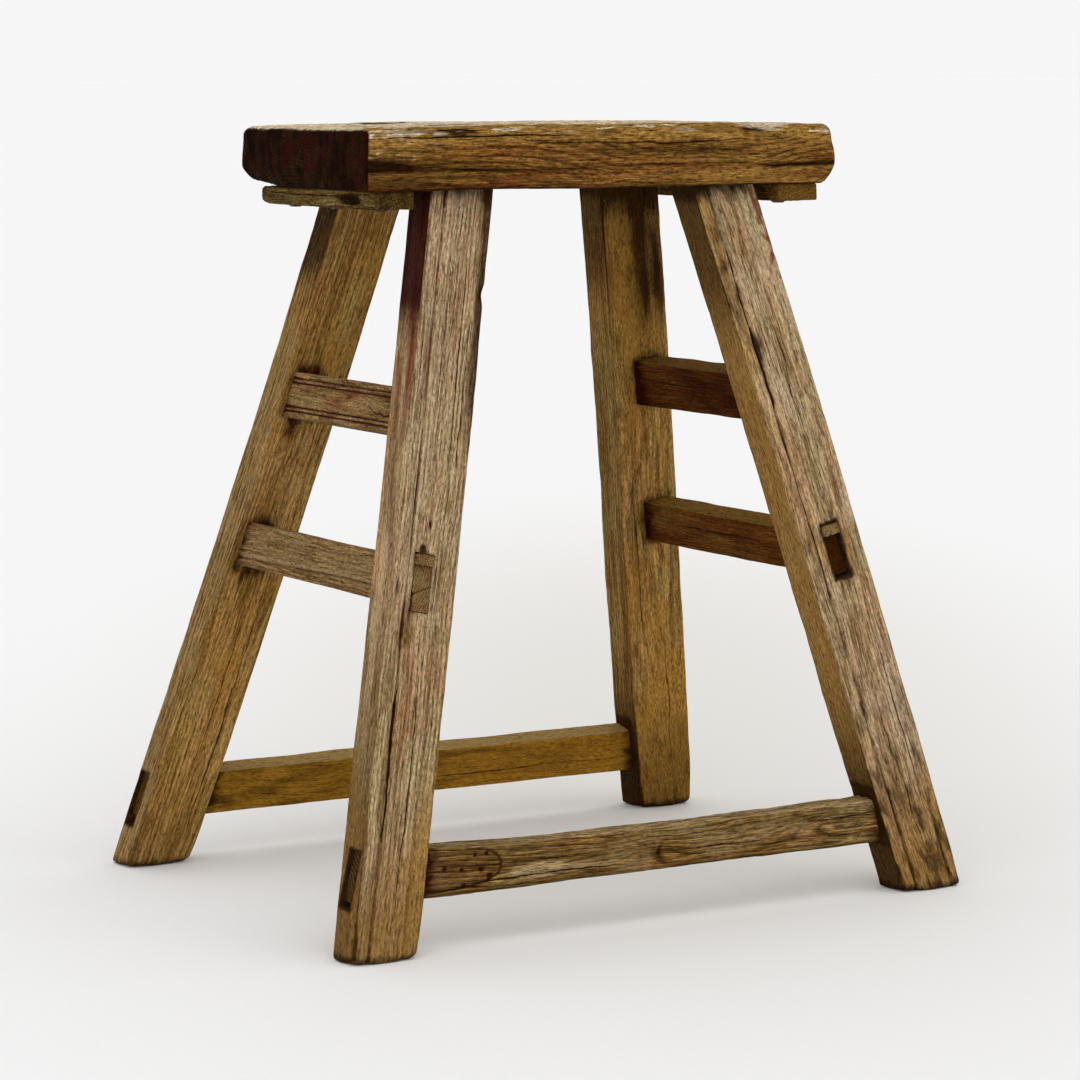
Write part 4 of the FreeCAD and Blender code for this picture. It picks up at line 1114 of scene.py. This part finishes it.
# Each wood's light, dark, grey and golden tones, then what else is its own.
wood("leg_front_wood", (190, 163, 126), (128, 100, 66), (192, 169, 139), (162, 122, 62), grit=0.8)
wood("leg_back_wood", (183, 146, 86), (120, 88, 42), (172, 146, 102), (164, 122, 53), grit=0.85)
wood("seat_wood", (144, 104, 52), (88, 58, 24), (222, 202, 170), (162, 123, 60), dirt=(20, 7, 2),
     line=(56, 30, 10), weathered=0.0, grit=1.2, dash=0.16, lacquer=0.5)
wood("rung_left_wood", (162, 132, 92), (110, 84, 50), (162, 136, 97), (156, 100, 44), grit=0.9)
wood("rung_right_wood", (116, 72, 28), (72, 36, 10), (138, 102, 56), (126, 94, 40),
     dirt=(32, 11, 1), weathered=0.2, grit=0.8)
wood("stretcher_front_wood", (158, 126, 72), (90, 63, 28), (176, 152, 110), (138, 102, 46),
     line=(40, 24, 10), lines=1.0, dash=0.12, lacquer=0.4)
wood("stretcher_back_wood", (158, 116, 45), (110, 75, 20), (162, 134, 82), (154, 111, 34),
     lines=0.4, pores=0.4, weathered=0.5, grit=0.7)
wood("cleat_wood", (120, 100, 55), (62, 45, 18), (134, 114, 74), (118, 84, 34), grit=1.2)
wood("wedge_wood", (150, 126, 86), (102, 80, 48), (160, 136, 98), (150, 114, 62), grit=0.6)
nail_iron = iron()

seat()
front_left_leg()
front_right_leg()
back_left_leg()
back_right_leg()
upper_left_rung()
lower_left_rung()
right_rung("upper", 7, proud=(0, 0), heavy=0.55, sag=-1.2)
right_rung("lower", 8, proud=(-3.4, -0.6), heavy=0.35, sag=2.0)
front_stretcher()
back_stretcher()
cleat(LEFT, 13, longer=-1.0, wider=1.8, end_dirt=0.65)
cleat(RIGHT, 14, longer=1.8, wider=3.4, end_dirt=0.195)
for side in (LEFT, RIGHT):
    for nail_slot in frame["nodes"][f"nails_cleat_{side}"].material_slots:
        nail_slot.material = nail_iron
rung_wedge(FRONT, LEFT, 15, proud=0.6, broken=True)
rung_wedge(FRONT, RIGHT, 16, proud=0.0)
rung_wedge(BACK, LEFT, 17, proud=0.2)
rung_wedge(BACK, RIGHT, 18, proud=0.2)
for number, (end, side) in enumerate(LEGS):
    seat_wedge(end, side, 19 + number)


# ---- floor, light and camera

CAMERA_PLACE = (-1.2545, -2.1837, 0.5425)
CAMERA_YAW, CAMERA_PITCH, CAMERA_ROLL = 30.01, -7.076, 0.183  # degrees
CAMERA_LENS, CAMERA_SENSOR = 124.79, 36.0  # mm
FLOOR_RADIUS = 600.0  # m
FLOOR_RINGS, FLOOR_SPOKES = 60, 96
FLOOR_DROP = -0.0004  # m: the floor lies just under the feet
SHADE_WIDTH, SHADE_DEPTH = 0.42, 1.2  # m: the floor's colour is darker behind the stool, a painted shadow
SHADE_RIGHT, SHADE_BEHIND = 0.1, 0.75  # m: from the stool, as the camera sees it
AMBIENT, BACKDROP = 0.87, 0.92  # the sky's strength as light and as seen by the camera


def towards(azimuth, elevation):
    """A direction: azimuth from +Y towards +X, and elevation, in degrees."""
    a, e = math.radians(azimuth), math.radians(elevation)
    return mathutils.Vector((math.sin(a) * math.cos(e), math.cos(a) * math.cos(e), math.sin(e)))


def floor():
    """A round sweep of pale floor, its rings closer together near the stool."""
    points, faces = [(0.0, 0.0, 0.0)], []
    for i in range(FLOOR_RINGS):
        radius = FLOOR_RADIUS * ((i + 1) / FLOOR_RINGS) ** 4
        inner, outer = 1 + (i - 1) * FLOOR_SPOKES, 1 + i * FLOOR_SPOKES
        for j in range(FLOOR_SPOKES):
            turn = 2 * math.pi * j / FLOOR_SPOKES
            points.append((radius * math.cos(turn), radius * math.sin(turn), 0.0))
            k = (j + 1) % FLOOR_SPOKES
            faces.append((inner + j, outer + j, outer + k, inner + k) if i else (0, 1 + j, 1 + k))
    mesh = bpy.data.meshes.new("floor")
    mesh.from_pydata(points, [], faces)
    mesh.shade_smooth()
    n = Nodes(bpy.data.materials.new("studio_floor"))
    grit = n.ramp(n.noise(n.place(), (160, 160, 160), detail=2), 0.3, 0.7)
    pale = n.mix(grit, (0.874, 0.874, 0.874, 1), (0.884, 0.884, 0.884, 1))
    reach = n.stretch(n.place(), (1 / SHADE_WIDTH, 1 / SHADE_DEPTH, 0.0))
    away = n.new("VectorMath", [(0, reach)], "Value", operation="LENGTH")
    # Painted shadow: the floor's colour darkens in a soft oval behind the stool.
    shade = n.mix(n.ramp(away, 1.5, 0.1), pale, (0.755, 0.738, 0.705, 1))
    n.shade(Base_Color=shade, Roughness=0.9, Specular_IOR_Level=0.1)
    mesh.materials.append(n.owner)
    piece = add("floor", mesh)
    piece.location = (SHADE_RIGHT * towards(CAMERA_YAW + 90, 0)
                      + SHADE_BEHIND * towards(CAMERA_YAW, 0))
    piece.location.z = FLOOR_DROP
    piece.rotation_euler.z = -math.radians(CAMERA_YAW)


def world():
    """A plain white sky, a little brighter to the camera than as light."""
    sky = bpy.data.worlds.new("studio")
    bpy.context.scene.world = sky
    n = Nodes(sky)
    seen = n.new("LightPath", output="Is Camera Ray")
    levels = {"Value": seen, "To Min": AMBIENT, "To Max": BACKDROP}
    n.shade("Background", Color=(1, 1, 1, 1), Strength=n.new("MapRange", levels.items()))


def sun(name, azimuth, elevation, spread, strength):
    """A soft, wide light from a direction. Angles are in degrees."""
    light = bpy.data.lights.new(name, "SUN")
    light.angle = math.radians(spread)
    light.energy = strength
    lamp = add(name, light)
    lamp.rotation_mode = "QUATERNION"
    lamp.rotation_quaternion = towards(azimuth, elevation).to_track_quat("Z", "Y")


def camera():
    data = bpy.data.cameras.new("camera")
    data.sensor_width = CAMERA_SENSOR
    data.lens = CAMERA_LENS
    data.clip_end = 2 * FLOOR_RADIUS
    piece = add("camera", data)
    look = towards(CAMERA_YAW, CAMERA_PITCH)
    roll = mathutils.Quaternion(look, math.radians(CAMERA_ROLL))
    piece.location = CAMERA_PLACE
    piece.rotation_mode = "QUATERNION"
    piece.rotation_quaternion = roll @ look.to_track_quat("-Z", "Y")
    bpy.context.scene.camera = piece


floor()
world()
sun("key", 190, 50, 90, 0.75)
camera()
bpy.context.scene.view_settings.view_transform = "Standard"

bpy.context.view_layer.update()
